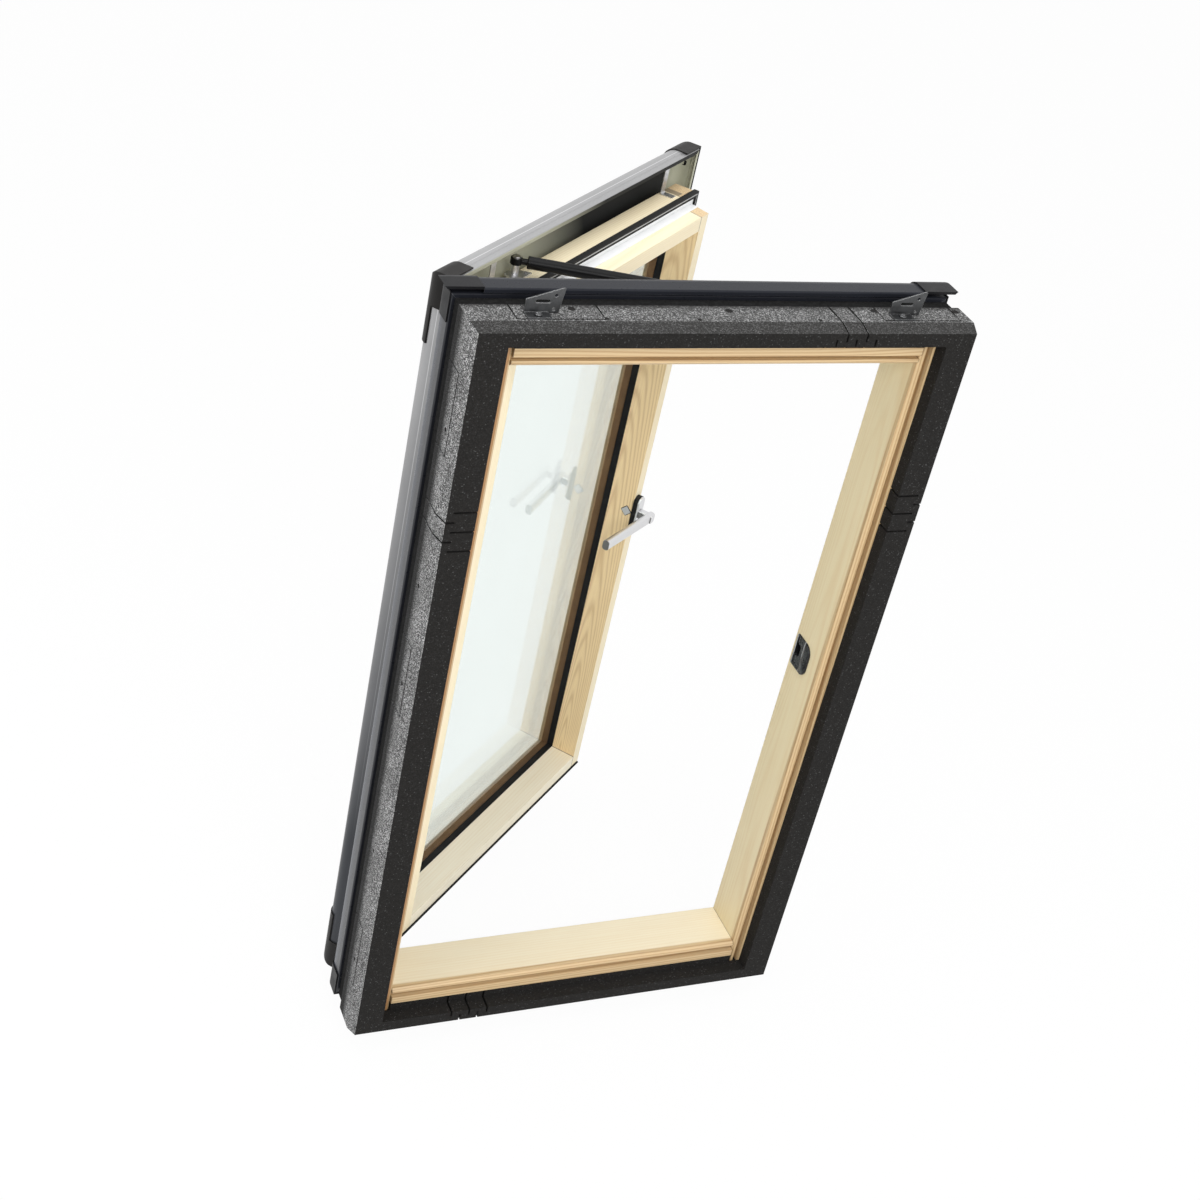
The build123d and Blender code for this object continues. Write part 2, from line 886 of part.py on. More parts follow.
def strut_tube():
    bore = tube_dia - 2 * tube_wall
    body = Pos(tube_start, 0, 0) * lying(tube_dia, tube_length)
    body = chamfer(body.edges().filter_by(GeomType.CIRCLE), tube_wall / 2)
    body -= Pos(tube_start + tube_cap, 0, 0) * lying(bore, tube_length - 2 * tube_cap)
    body -= Pos(tube_start + tube_length - tube_cap - overrun, 0, 0) * lying(
        rod_dia + 2 * slide_clearance, tube_cap + 2 * overrun
    )
    neck_start = eye_dia / 2 - tube_wall
    neck = Pos(neck_start, 0, 0) * lying(eye_high, tube_start - neck_start + tube_wall)
    return along_strut(body + neck + strut_eye(0))


def strut_rod():
    bore = tube_dia - 2 * tube_wall - 2 * slide_clearance
    start = tube_start + tube_length - rod_inside
    rod = Pos(start, 0, 0) * lying(rod_dia, strut_length - eye_dia / 2 + tube_wall - start)
    piston = Pos(start, 0, 0) * lying(bore, piston_length)
    eye = Pos(strut_length, 0, -eye_high / 2) * upright(eye_dia, eye_high)
    return along_strut(rod + piston + eye)


def sash_strut_bracket():
    """Triangular plate on the top rail with the stud that carries the strut's eye. Drawn closed."""
    x, y = hinge_x + strut_closed[0], hinge_y + strut_closed[1]
    base = glass_h + sash_overlap
    half = strut_plate_length / 2
    far = rim_y + strut_plate_overhang
    near = rim_y - sash_rim_depth / 2
    corners = [(x - half, near), (x + half, near), (x + stud_head_dia, far), (x - stud_head_dia, far)]
    outline = Polyline(*corners, close=True)
    plate = Pos(0, 0, base) * extrude(make_face(outline), strut_plate_gauge)
    eye_low = strut_z - eye_high / 2
    eye_top = strut_z + eye_high / 2
    post = Pos(x, y, base) * upright(stud_head_dia, eye_low - pin_clearance - base)
    stud = Pos(x, y, base) * upright(stud_dia, eye_top + pin_clearance - base)
    head = Pos(x, y, eye_top + pin_clearance) * upright(stud_head_dia, stud_head_high)
    return plate + post + stud + head


def frame_strut_bracket():
    """Angle on the outer edge of the head with a boss under the strut's frame end."""
    half = strut_bracket_length / 2
    x0, x1 = frame_end_x - half, frame_end_x + half
    foot_low = wood_h - leaf_foot
    far = frame_end_y + strut_boss_dia / 2
    foot = block_at(x0, x1, wood_out_y, wood_out_y + leaf_gauge, foot_low, wood_h)
    web = block_at(x0, x1, wood_out_y, far, wood_h - leaf_gauge, wood_h)
    high = strut_z - eye_high / 2 - stud_rest
    boss = Pos(frame_end_x, frame_end_y, wood_h) * upright(strut_boss_dia, high - wood_h)
    return foot + web + boss


# Handle and lock, drawn on the closed sash
handle_x = glass_w + handle_place


def rosette(low, high, trim):
    """Plate with round ends, on the room face of the lock stile."""
    face = Plane.XZ * SlotOverall(rosette_length - 2 * trim, rosette_width - 2 * trim, rotation=90)
    return Pos(handle_x, 0, handle_height) * Pos(0, low, 0) * extrude(face, low - high)


def spindle_end_y():
    return sash_y + lock_setback + spindle_bite


def spindle_bore():
    """Round bore in which the square spindle turns."""
    dia = math.hypot(spindle_side, spindle_side) + 2 * spindle_clearance
    low = sash_y - overrun
    return Pos(handle_x, low, handle_height) * deep(dia, spindle_end_y() + spindle_end_gap - low)


def handle_base():
    body = rosette(sash_y - rosette_base, sash_y, 0)
    hole = Pos(handle_x, sash_y - rosette_base - overrun, handle_height) * deep(
        neck_dia + 2 * pin_clearance, rosette_base + 2 * overrun
    )
    return body - hole


def handle_cover():
    low = sash_y - rosette_base - rosette_cover
    body = rosette(low, sash_y - rosette_base, rosette_cover_inset)
    hole = Pos(handle_x, low - overrun, handle_height) * deep(
        neck_dia + 2 * pin_clearance, rosette_cover + 2 * overrun
    )
    return body - hole


def handle_lever():
    face_y = sash_y - rosette_base - rosette_cover
    elbow_y = face_y - neck_reach
    neck = Pos(handle_x, elbow_y, handle_height) * deep(neck_dia, sash_y - neck_end_gap - elbow_y)
    half = spindle_side / 2
    spindle = block_at(
        handle_x - half,
        handle_x + half,
        sash_y - neck_end_gap,
        spindle_end_y(),
        handle_height - half,
        handle_height + half,
    )
    block_low = elbow_y - grip_thick / 2
    block_high = face_y - neck_block_gap
    block = Box(neck_block_width, block_high - block_low, neck_block_high)
    block = fillet(block.edges().filter_by(Axis.Y), neck_block_round)
    block = Pos(handle_x, (block_low + block_high) / 2, handle_height) * block
    grip_x = handle_x + neck_block_width / 2
    start = Plane(origin=(grip_x, elbow_y, handle_height), x_dir=(0, 0, 1), z_dir=(-1, 0, 0))
    end_y = elbow_y + grip_return
    end = Plane(origin=(handle_x - grip_length, end_y, handle_height), x_dir=(0, 0, 1), z_dir=(-1, 0, 0))
    oval = RectangleRounded(grip_width, grip_thick, grip_round)
    grip = loft([start * oval, end * oval])
    return neck + spindle + block + grip


def lock_box(margin, reach):
    """Space of the lock case in the stile, from its back to reach outside the glass opening."""
    x0 = glass_w + lock_inset - margin
    y0 = sash_y + lock_setback - margin
    half = lock_length / 2 + margin
    y1 = y0 + lock_depth + 2 * margin
    return block_at(x0, glass_w + reach, y0, y1, handle_height - half, handle_height + half)


def lock_mortise():
    return lock_box(0, sash_side + overrun)


def bolt_at(clearance, x0, x1):
    y = sash_y + bolt_setback
    half_y, half_z = bolt_thick / 2 + clearance, bolt_high / 2 + clearance
    return block_at(x0, x1, y - half_y, y + half_y, handle_height - half_z, handle_height + half_z)


def lock_case():
    tip = glass_w + lock_inset + lock_width
    hole = spindle_bore()
    body = lock_box(0, lock_inset + lock_width)
    return body - bolt_at(bolt_clearance, tip - bolt_length - bolt_clearance, tip + overrun) - hole


def lock_bolt():
    tip = glass_w + lock_inset + lock_width
    return bolt_at(0, tip - bolt_length, tip)


def lock_plate():
    """Small square cover on the reveal of the lock stile, standing on its corner."""
    square = Rot(45, 0, 0) * Box(plate_thick, plate_side, plate_side)
    return Pos(glass_w - plate_thick / 2, sash_y + plate_setback, handle_height) * square


# Lock keep
def keep_span():
    near = sash_y - keep_reach_in
    return near, near + keep_depth


def keep_outline(trim):
    near, far = keep_span()
    mid_y = (near + far) / 2
    width, high = keep_depth - 2 * trim, keep_high - 2 * trim
    return Pos(mid_y, handle_height) * Rectangle(width, high)


def keep_pocket_box(margin, depth):
    y = sash_y + bolt_setback
    half_y = bolt_thick / 2 + keep_pocket_margin + margin
    half_z = bolt_high / 2 + keep_pocket_margin + margin
    return block_at(
        half_w - keep_plate - overrun,
        half_w + depth,
        y - half_y,
        y + half_y,
        handle_height - half_z,
        handle_height + half_z,
    )


def keep_mortise():
    return keep_pocket_box(keep_wall + keep_clearance, keep_pocket_depth + keep_wall + keep_clearance)


def strike_keep():
    near, far = keep_span()
    plate = extrude(Plane.YZ.offset(half_w - keep_plate) * keep_outline(0), keep_plate)
    upright_edges = plate.edges().filter_by(Axis.X).sort_by(Axis.Y)
    plate = fillet(upright_edges[:2], keep_round)
    small = plate.edges().filter_by(Axis.X).sort_by(Axis.Y)[-2:]
    plate = fillet(small, keep_round_small)
    cup = keep_pocket_box(keep_wall, keep_pocket_depth + keep_wall)
    cup &= block_at(half_w, half_w + reach_all, near, far, -reach_all, reach_all)
    ramp_far = near + keep_ramp_depth
    half = keep_high / 2 - keep_round
    ramp_outline = Polyline(
        (half_w - keep_plate, near),
        (half_w - keep_plate - keep_ramp, near + keep_round_small * 2),
        (half_w - keep_plate - keep_ramp, ramp_far - keep_wall),
        (half_w - keep_plate, ramp_far),
        close=True,
    )
    ramp = Pos(0, 0, handle_height) * extrude(make_face(ramp_outline), half, both=True)
    return plate + cup + ramp - keep_pocket_box(0, keep_pocket_depth)


def build_frame():
    for name, member in frame_members().items():
        write(name, member)
    write("insulation_block", insulation_block())
    write("underlay_collar", underlay_collar())
    for side in TURNS:
        write(f"frame_cover_{side}", frame_cover(side))
    write("frame_hood", frame_hood())
    for end in ("top", "bottom"):
        for flank in ("left", "right"):
            write(f"frame_corner_{end}_{flank}", frame_corner(end, flank))
    screws = []
    for flank, x in zip(("left", "right"), bracket_places()):
        upper = Pos(x, 0, 0) * bracket()
        screw_x = x + bracket_shift()
        for hole in bracket_screw_holes("top"):
            upper -= hole
        write(f"bracket_upper_{flank}", upper)
        write(f"bracket_lower_{flank}", mirrored(upper))
        tip = screw_tip_z()
        length = flare_h + bracket_gauge - tip
        shank = upright(bracket_screw, length)
        shank += Pos(0, 0, length) * upright(bracket_screw_head, bracket_screw_head_high)
        screw = Pos(screw_x, foot_screw_y(), tip) * shank
        screws += [screw, mirrored(screw)]
    write("bracket_screws", Compound([s.solids()[0] for s in screws]))
    write("strike_keep", strike_keep())
    write("hinge_frame_leaves", Compound([hinge_frame_leaf(z).solids()[0] for z in hinge_places]))
    write("hinge_pins", Compound([hinge_pin(z).solids()[0] for z in hinge_places]))
    write("strut_frame_bracket", frame_strut_bracket())


def build_sash():
    pieces = sash_members()
    pieces.update(glazing())
    pieces.update(weather_seals())
    for side in TURNS:
        pieces[f"sash_cover_{side}"] = sash_cover(side)
    for end in ("top", "bottom"):
        for flank in ("left", "right"):
            pieces[f"corner_cap_{end}_{flank}"] = corner_cap(end, flank)
    pieces["cover_clips"] = Compound([c.solids()[0] for c in cover_clips()])
    pieces["hinge_sash_leaves"] = Compound([hinge_sash_leaf(z).solids()[0] for z in hinge_places])
    pieces["strut_sash_bracket"] = sash_strut_bracket()
    pieces["handle_base"] = handle_base()
    pieces["handle_cover"] = handle_cover()
    pieces["handle_lever"] = handle_lever()
    pieces["lock_case"] = lock_case()
    pieces["lock_bolt"] = lock_bolt()
    pieces["lock_plate"] = lock_plate()
    for name, piece in pieces.items():
        write(name, swung(piece))
    write("strut_tube", strut_tube())
    write("strut_rod", strut_rod())


build_frame()
build_sash()
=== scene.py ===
# %% [markdown]
# # A side-hung roof exit window
# The solids come from the CAD model: a timber frame in a foam block, and a glazed sash that stands open.
# This lesson gives each of them its finish, adds the small pieces that are easier as computed surfaces, and
# lights and frames the window as in a catalogue picture. All lengths are in metres, X runs to the right as
# seen from the room, Y runs outwards and Z runs up the window.

# %% Load the solids
import json
import math

import bmesh
import bpy
import numpy as np
from mathutils import Euler, Matrix, Vector


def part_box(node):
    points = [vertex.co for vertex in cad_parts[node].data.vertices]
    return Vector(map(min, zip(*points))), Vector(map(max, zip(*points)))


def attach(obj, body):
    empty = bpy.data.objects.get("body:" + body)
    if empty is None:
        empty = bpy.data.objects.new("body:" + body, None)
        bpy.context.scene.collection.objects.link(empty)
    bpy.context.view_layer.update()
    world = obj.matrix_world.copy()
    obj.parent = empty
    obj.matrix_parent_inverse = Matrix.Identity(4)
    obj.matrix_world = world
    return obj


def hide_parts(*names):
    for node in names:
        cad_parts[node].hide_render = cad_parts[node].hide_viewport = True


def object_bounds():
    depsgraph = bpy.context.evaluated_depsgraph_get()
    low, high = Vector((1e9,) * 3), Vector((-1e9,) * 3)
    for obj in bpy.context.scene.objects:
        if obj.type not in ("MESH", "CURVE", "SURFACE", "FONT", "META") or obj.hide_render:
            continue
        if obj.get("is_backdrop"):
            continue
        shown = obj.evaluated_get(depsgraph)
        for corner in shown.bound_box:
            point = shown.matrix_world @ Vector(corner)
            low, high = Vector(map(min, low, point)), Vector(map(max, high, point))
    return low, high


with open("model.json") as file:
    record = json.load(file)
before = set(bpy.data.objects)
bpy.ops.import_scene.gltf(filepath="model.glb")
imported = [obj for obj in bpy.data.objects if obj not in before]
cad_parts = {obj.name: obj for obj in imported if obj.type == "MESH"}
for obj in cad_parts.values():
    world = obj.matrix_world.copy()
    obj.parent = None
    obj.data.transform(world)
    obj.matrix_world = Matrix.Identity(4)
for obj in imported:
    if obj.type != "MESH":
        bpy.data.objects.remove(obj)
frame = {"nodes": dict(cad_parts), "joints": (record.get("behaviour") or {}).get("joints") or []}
nodes = frame["nodes"]
joints = {joint["name"]: joint for joint in frame["joints"]}
cad_low, cad_high = (list(corner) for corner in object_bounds())
print(len(nodes), "solids, box", [round(b - a, 3) for a, b in zip(cad_low, cad_high)])

# %% [markdown]
# ## Directions of the open sash
# The sash is modelled standing open, turned about its hinge line. Wood grain, brush marks and the inner
# side of a cover all follow the sash, so its own directions are needed: along the sash, out of it, and up.
# They could be typed in, but the bolt's sliding direction in the joint list gives them exactly.

# %% Sash directions
hinge_point = Vector(joints["sash_swing"]["pos_m"])
sash_across = Vector(joints["bolt_slide"]["axis"]).normalized()
up = Vector((0, 0, 1))
right_way, left_way, out_way, room_way = (1, 0, 0), (-1, 0, 0), (0, 1, 0), (0, -1, 0)
down = (0, 0, -1)
sash_out = up.cross(sash_across)
open_angle = math.atan2(sash_across.y, sash_across.x)
print("sash stands open by", round(math.degrees(open_angle), 2), "degrees")

# %% [markdown]
# ## Building shader trees
# Every finish here is a node tree. Blender can build one by hand in its editor, or from a script with three
# moves: add a node, set its sockets, link it. One small helper does all three, and a few more take up what
# the recipes repeat.

# %% Shader helpers
def add(tree, kind, inputs=None, **settings):
    """Adds one shader node. Each input is a constant, or the socket of another node."""
    node = tree.nodes.new("ShaderNode" + kind)
    for key, value in settings.items():
        setattr(node, key, value)
    for key, value in (inputs or {}).items():
        if isinstance(value, bpy.types.NodeSocket):
            tree.links.new(value, node.inputs[key])
        else:
            node.inputs[key].default_value = value
    return node


def new_finish(name, **constants):
    """A material with one Principled shader, whose constant sockets are set by name."""
    finish = bpy.data.materials.new(name)
    finish.use_nodes = True
    tree = finish.node_tree
    shader = next(n for n in tree.nodes if n.type == "BSDF_PRINCIPLED")
    for key, value in constants.items():
        shader.inputs[key.replace("_", " ")].default_value = value
    return finish, tree, shader


def ramp(tree, factor, stops):
    """Colour ramp through (position, colour) stops; a single number is a grey."""
    node = add(tree, "ValToRGB", {"Fac": factor})
    elements = node.color_ramp.elements
    while len(elements) < len(stops):
        elements.new(0.5)
    for element, (place, colour) in zip(elements, stops):
        element.position = place
        element.color = (*colour, 1) if isinstance(colour, tuple) else (colour, colour, colour, 1)
    return node.outputs["Color"]


def mask(tree, factor, low, high, top=1.0):
    """Ramp from 0 at a low factor to a top at a high one."""
    return ramp(tree, factor, [(low, 0.0), (high, top)])


def mix(tree, factor, first, second, weight=None):
    """Mixes two colours by a factor, or by a share of it where a weight is given."""
    if weight is not None:
        factor = times(tree, factor, weight)
    first, second = ((*c, 1) if isinstance(c, tuple) else c for c in (first, second))
    return add(tree, "Mix", {0: factor, 6: first, 7: second}, data_type="RGBA").outputs[2]


def calc(tree, operation, *values):
    """One arithmetic step on numbers."""
    return add(tree, "Math", dict(enumerate(values)), operation=operation).outputs[0]


def times(tree, first, second):
    """Product of two numbers."""
    return calc(tree, "MULTIPLY", first, second)


def toned(colour, factor, lift=0.0, top=1.0):
    """A darker or paler colour: each channel times a factor, plus a lift, up to a top."""
    return tuple(min(top, factor * channel + lift) for channel in colour)


def vector_step(tree, operation, *values):
    """One step on vectors that gives a vector."""
    return add(tree, "VectorMath", dict(enumerate(values)), operation=operation).outputs["Vector"]


def dot(tree, first, second):
    """Dot product of two vectors."""
    return add(tree, "VectorMath", {0: first, 1: second}, operation="DOT_PRODUCT").outputs["Value"]


def rising(tree, value, low, high):
    """Runs from 0 to 1 while a value goes from low to high."""
    return add(tree, "MapRange", {"Value": value, "From Min": low, "From Max": high}).outputs["Result"]


def coords(tree, rotation=(0, 0, 0), location=(0, 0, 0)):
    """The part's own coordinates, turned and moved for a pattern."""
    place = add(tree, "TexCoord").outputs["Object"]
    mapping = add(tree, "Mapping", {"Vector": place, "Rotation": rotation, "Location": location})
    return mapping.outputs["Vector"]


def stretched(tree, vector, scale):
    """A pattern's coordinates, scaled along each axis."""
    return add(tree, "Mapping", {"Vector": vector, "Scale": scale}).outputs["Vector"]


def noise(tree, vector, scale, detail=3.0, roughness=0.5):
    """Fractal noise from 0 to 1."""
    inputs = {"Vector": vector, "Scale": scale, "Detail": detail, "Roughness": roughness}
    return add(tree, "TexNoise", inputs).outputs["Fac"]


def facing(tree, direction):
    """Cosine between the surface's own normal and a fixed direction of the part."""
    return dot(tree, add(tree, "TexCoord").outputs["Normal"], tuple(direction))


def rounded_normal(tree, radius):
    """The surface's normal with its edges rounded by a radius."""
    return add(tree, "Bevel", {"Radius": radius}, samples=4).outputs["Normal"]


def raised(tree, shader, height, depth, strength=1.0, edge=0.0):
    """Surface relief from a height of 0 to 1 over a depth in metres, with softened edges where asked."""
    relief = add(tree, "Bump", {"Height": height, "Distance": depth, "Strength": strength})
    if edge:
        tree.links.new(rounded_normal(tree, edge), relief.inputs["Normal"])
    link(tree, shader, Normal=relief.outputs["Normal"])


def edge_wear(tree, radius):
    """1 along sharp edges and 0 on flat faces: how far a rounded normal turns away from the true one."""
    same = dot(tree, rounded_normal(tree, radius), add(tree, "NewGeometry").outputs["Normal"])
    return mask(tree, calc(tree, "SUBTRACT", 1.0, same), 0.02, 0.14)


def along(tree, direction, low, high):
    """Runs from 0 to 1 between two distances along a direction of the part."""
    place = add(tree, "TexCoord").outputs["Object"]
    return rising(tree, dot(tree, place, tuple(direction)), low, high)


def dress(finish, *names):
    """Gives a finish to CAD nodes by name."""
    for name in names:
        mesh = nodes[name].data
        mesh.materials.clear()
        mesh.materials.append(finish)
    print(finish.name, "on", ", ".join(names))


def link(tree, shader, **patterns):
    """Links patterns to the shader's sockets by name."""
    for key, socket in patterns.items():
        tree.links.new(socket, shader.inputs[key.replace("_", " ")])


print("helpers ready")

# %% [markdown]
# ## Pine
# Frame and sash are clear-lacquered pine. On a real board the lines are cuts through year rings, so a board
# sawn near the heart shows arches and its end shows arcs. Painting lines on each face would not meet at the
# corners. Instead each board is cut out of one solid pattern: rings around a heart line that runs along the
# grain, outside the board, gently bent by noise. Fine fibres and broad tone drift are added on top.

# %% Pine finish
cream = (0.86, 0.755, 0.505)
# The sill, the sash and its bottom rail take paler copies of the cream, and the hinge jamb a darker one:
# painted light and painted shade, not tones of the wood.
sill_cream_painted_light = (0.88, 0.80, 0.61)
sash_cream_painted_light = (0.93, 0.84, 0.61)
rail_cream_painted_light = (0.95, 0.895, 0.73)
late_wood = (0.72, 0.52, 0.265)
shaded_cream = (0.68, 0.585, 0.39)
tan_wood = (0.93, 0.735, 0.43)
edge_early = (0.60, 0.43, 0.225)
edge_late = (0.45, 0.275, 0.125)
deep_wood = (0.55, 0.345, 0.155)
end_wood = (0.50, 0.33, 0.175)
joint_wood = (0.10, 0.06, 0.03)
# Brown painted shade on the hinge jamb's room edge, where it meets the foam.
groove_painted_shade = (0.38, 0.19, 0.07)
wave_share = 0.314
joint_line = (0.0011, 0.0004)


def pine(node, turn, heart, early, ring, slant, contrast, tan_side=None, tan_edge=None, half_length=None,
         groove_shade=None):
    """Pine whose grain runs along the direction that the turn brings to Z, with its heart beside the board.

    A ring is the width of a year's growth. A slanted heart line draws arches, a tan side shows more
    heartwood, a tan edge is the moulded room edge, a half length marks the joints, and a groove shade is
    painted shade: a brown band where the room edge meets the foam."""
    low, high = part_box(node)
    middle = (low + high) / 2
    grain_way = turn.transposed() @ up
    finish, tree, shader = new_finish("pine_" + node, Roughness=0.46, Coat_Weight=0.12, Coat_Roughness=0.3)
    board = coords(tree, tuple(turn.to_euler("XYZ")), tuple(Vector(heart) - turn @ middle))
    bend = noise(tree, stretched(tree, board, (9, 9, 1.1)), 1.0, 2.0)
    shift = times(tree, calc(tree, "SUBTRACT", bend, 0.5), 0.030)
    lean = times(tree, add(tree, "SeparateXYZ", {"Vector": board}).outputs["Z"], slant)
    sideways = add(tree, "CombineXYZ", {"X": lean}).outputs["Vector"]
    bent = vector_step(tree, "ADD", vector_step(tree, "ADD", board, shift), sideways)
    wave = {"Vector": stretched(tree, bent, (1, 1, 0.03)), "Scale": wave_share / ring}
    wave.update({"Distortion": 1.6, "Detail": 2.0, "Detail Scale": 1.4})
    rings = add(tree, "TexWave", wave, wave_type="RINGS", rings_direction="Z", wave_profile="SIN")
    late = ramp(tree, rings.outputs["Fac"], [(0.25, 0.0), (0.78, 0.55), (1.0, 1.0)])
    fibre = noise(tree, stretched(tree, board, (700, 700, 9)), 1.0, 3.0, 0.6)
    patch = noise(tree, stretched(tree, board, (14, 14, 1.6)), 1.0, 3.0)
    strength = ramp(tree, patch, [(0.3, 0.10 * contrast), (0.7, 0.38 * contrast)])
    colour = mix(tree, late, early, late_wood, strength)
    colour = mix(tree, ramp(tree, fibre, [(0.35, 0.16), (0.62, 0.0)]), colour, late_wood)
    colour = mix(tree, mask(tree, patch, 0.42, 0.8, 0.18), colour, late_wood)
    if tan_side is not None:
        side = mask(tree, facing(tree, tan_side), 0.6, 0.8)
        darker = mix(tree, late, tan_wood, deep_wood, 0.45)
        darker = mix(tree, ramp(tree, fibre, [(0.35, 0.18), (0.62, 0.0)]), darker, deep_wood)
        colour = mix(tree, side, colour, darker)
    if tan_edge is not None:
        moulding = mix(tree, late, edge_early, edge_late)
        colour = mix(tree, along(tree, room_way, *tan_edge), colour, moulding, 0.9)
    # painted shade: the room edge turns brown where it meets the foam
    if groove_shade is not None:
        colour = mix(tree, along(tree, left_way, *groove_shade), colour, groove_painted_shade, 0.9)
    cut = mask(tree, calc(tree, "ABSOLUTE", facing(tree, grain_way)), 0.85, 0.95)
    pores = mask(tree, noise(tree, board, 900.0, 3.0), 0.42, 0.6)
    end_grain = mix(tree, pores, mix(tree, late, tan_wood, end_wood), deep_wood)
    colour = mix(tree, cut, colour, end_grain, 0.85)
    if half_length is not None:
        from_middle = vector_step(tree, "SUBTRACT", add(tree, "TexCoord").outputs["Object"], tuple(middle))
        run = calc(tree, "ABSOLUTE", dot(tree, from_middle, tuple(grain_way)))
        seam = rising(tree, run, *(half_length - back for back in joint_line))
        colour = mix(tree, seam, colour, joint_wood, 0.75)
    link(tree, shader, Base_Color=colour, Roughness=ramp(tree, fibre, [(0.3, 0.56), (0.7, 0.42)]))
    relief = calc(tree, "ADD", times(tree, fibre, 0.7), times(tree, late, 0.3))
    raised(tree, shader, relief, 0.00025, 0.6, 0.0012)
    return finish


lying = Euler((0, math.radians(-90), 0)).to_matrix()
standing = Matrix.Identity(3)
swing_back = Matrix.Rotation(-open_angle, 3, "Z")
# Each board's early tone: the paler ones on the sill and the sash are painted light, the darker one on the
# hinge jamb is painted shade.
boards = {
    "frame_head": (lying, (0.035, 0.060, 0), cream),
    "frame_sill": (lying, (-0.045, 0.070, 0), sill_cream_painted_light),
    "frame_jamb_hinge": (standing, (0.050, 0.065, 0), shaded_cream),
    "frame_jamb_lock": (standing, (0.075, 0.012, 0), cream),
    "sash_top_rail": (lying @ swing_back, (0.05, 0.04, 0), sash_cream_painted_light),
    "sash_bottom_rail": (lying @ swing_back, (0.06, -0.03, 0), rail_cream_painted_light),
    "sash_hinge_stile": (standing @ swing_back, (0.05, 0.06, 0), sash_cream_painted_light),
    "sash_lock_stile": (standing @ swing_back, (0.048, 0.006, 0), sash_cream_painted_light),
}
room_edge = (0.0040, 0.0065)
# Across the hinge jamb, where the painted shade beside the foam begins and ends.
painted_shade_beside_foam = (0.3132, 0.3141)
arched, straight = (0.0031, 0.045), (0.0042, 0.012)
half_lengths = {"frame_head": 0.31, "frame_sill": 0.31, "sash_top_rail": 0.28, "sash_bottom_rail": 0.28}
for board, (turn, heart, early) in boards.items():
    contrast = 0.45 if board in ("frame_sill", "sash_bottom_rail") else 1.0
    tan = -sash_across if board == "sash_lock_stile" else None
    edge = room_edge if board.startswith("frame") else None
    groove_shade = painted_shade_beside_foam if board == "frame_jamb_hinge" else None
    ring, slant = arched if tan else straight
    length = half_lengths.get(board)
    dress(pine(board, turn, heart, early, ring, slant, contrast, tan, edge, length, groove_shade), board)

# %% [markdown]
# ## Foam block
# The insulation block is moulded from small expanded beads, dark with graphite. Its skin shows the beads as
# a cobble of cells, each a little different, with a few pale ones, and the faces that were cut or rubbed
# are greyer than the moulded room face. A Voronoi pattern is exactly such a packing of cells, so it gives
# the colour of each bead and the dents between them. Light and shade are painted in as well: the sides are
# painted lighter than the top and bottom, the room face, the walls of slits and recesses and the sloped
# flare are darkened by painted shade, and painted shadow blackens the foam beside the covers.

# %% Bead foam finish
bead_scale = 760.0
block_half_width, block_half_height = 0.3725, 0.6325
block_room, block_flare_end, block_flare = -0.044, -0.021, 0.006
skin = 0.0012
# Dark beads for the room face and for the walls of slits and recesses: partly the dark moulded skin and
# partly painted shade.
dark_beads = [(0.0, (0.008, 0.0075, 0.007)), (0.8, (0.016, 0.0145, 0.013)), (0.975, 0.024), (0.99, 0.075)]
# Bead tones of the top and bottom and of the sides: the sides are painted lighter, painted light and shade.
end_beads_painted_shade = [(0.0, 0.030), (0.45, 0.085), (0.75, 0.20), (0.92, 0.50)]
flank_beads_painted_light = [(0.0, 0.030), (0.4, 0.13), (0.7, 0.31), (0.92, 0.70)]
cloud_grey = (0.060, 0.060, 0.058)
# Painted shadow of the covers on the foam beside them.
cover_painted_shadow = (0.011, 0.0105, 0.0105)
# Painted shade on the sloped flare.
sloped_painted_shade = (0.022, 0.021, 0.020)
seam_black = (0.008, 0.008, 0.008)


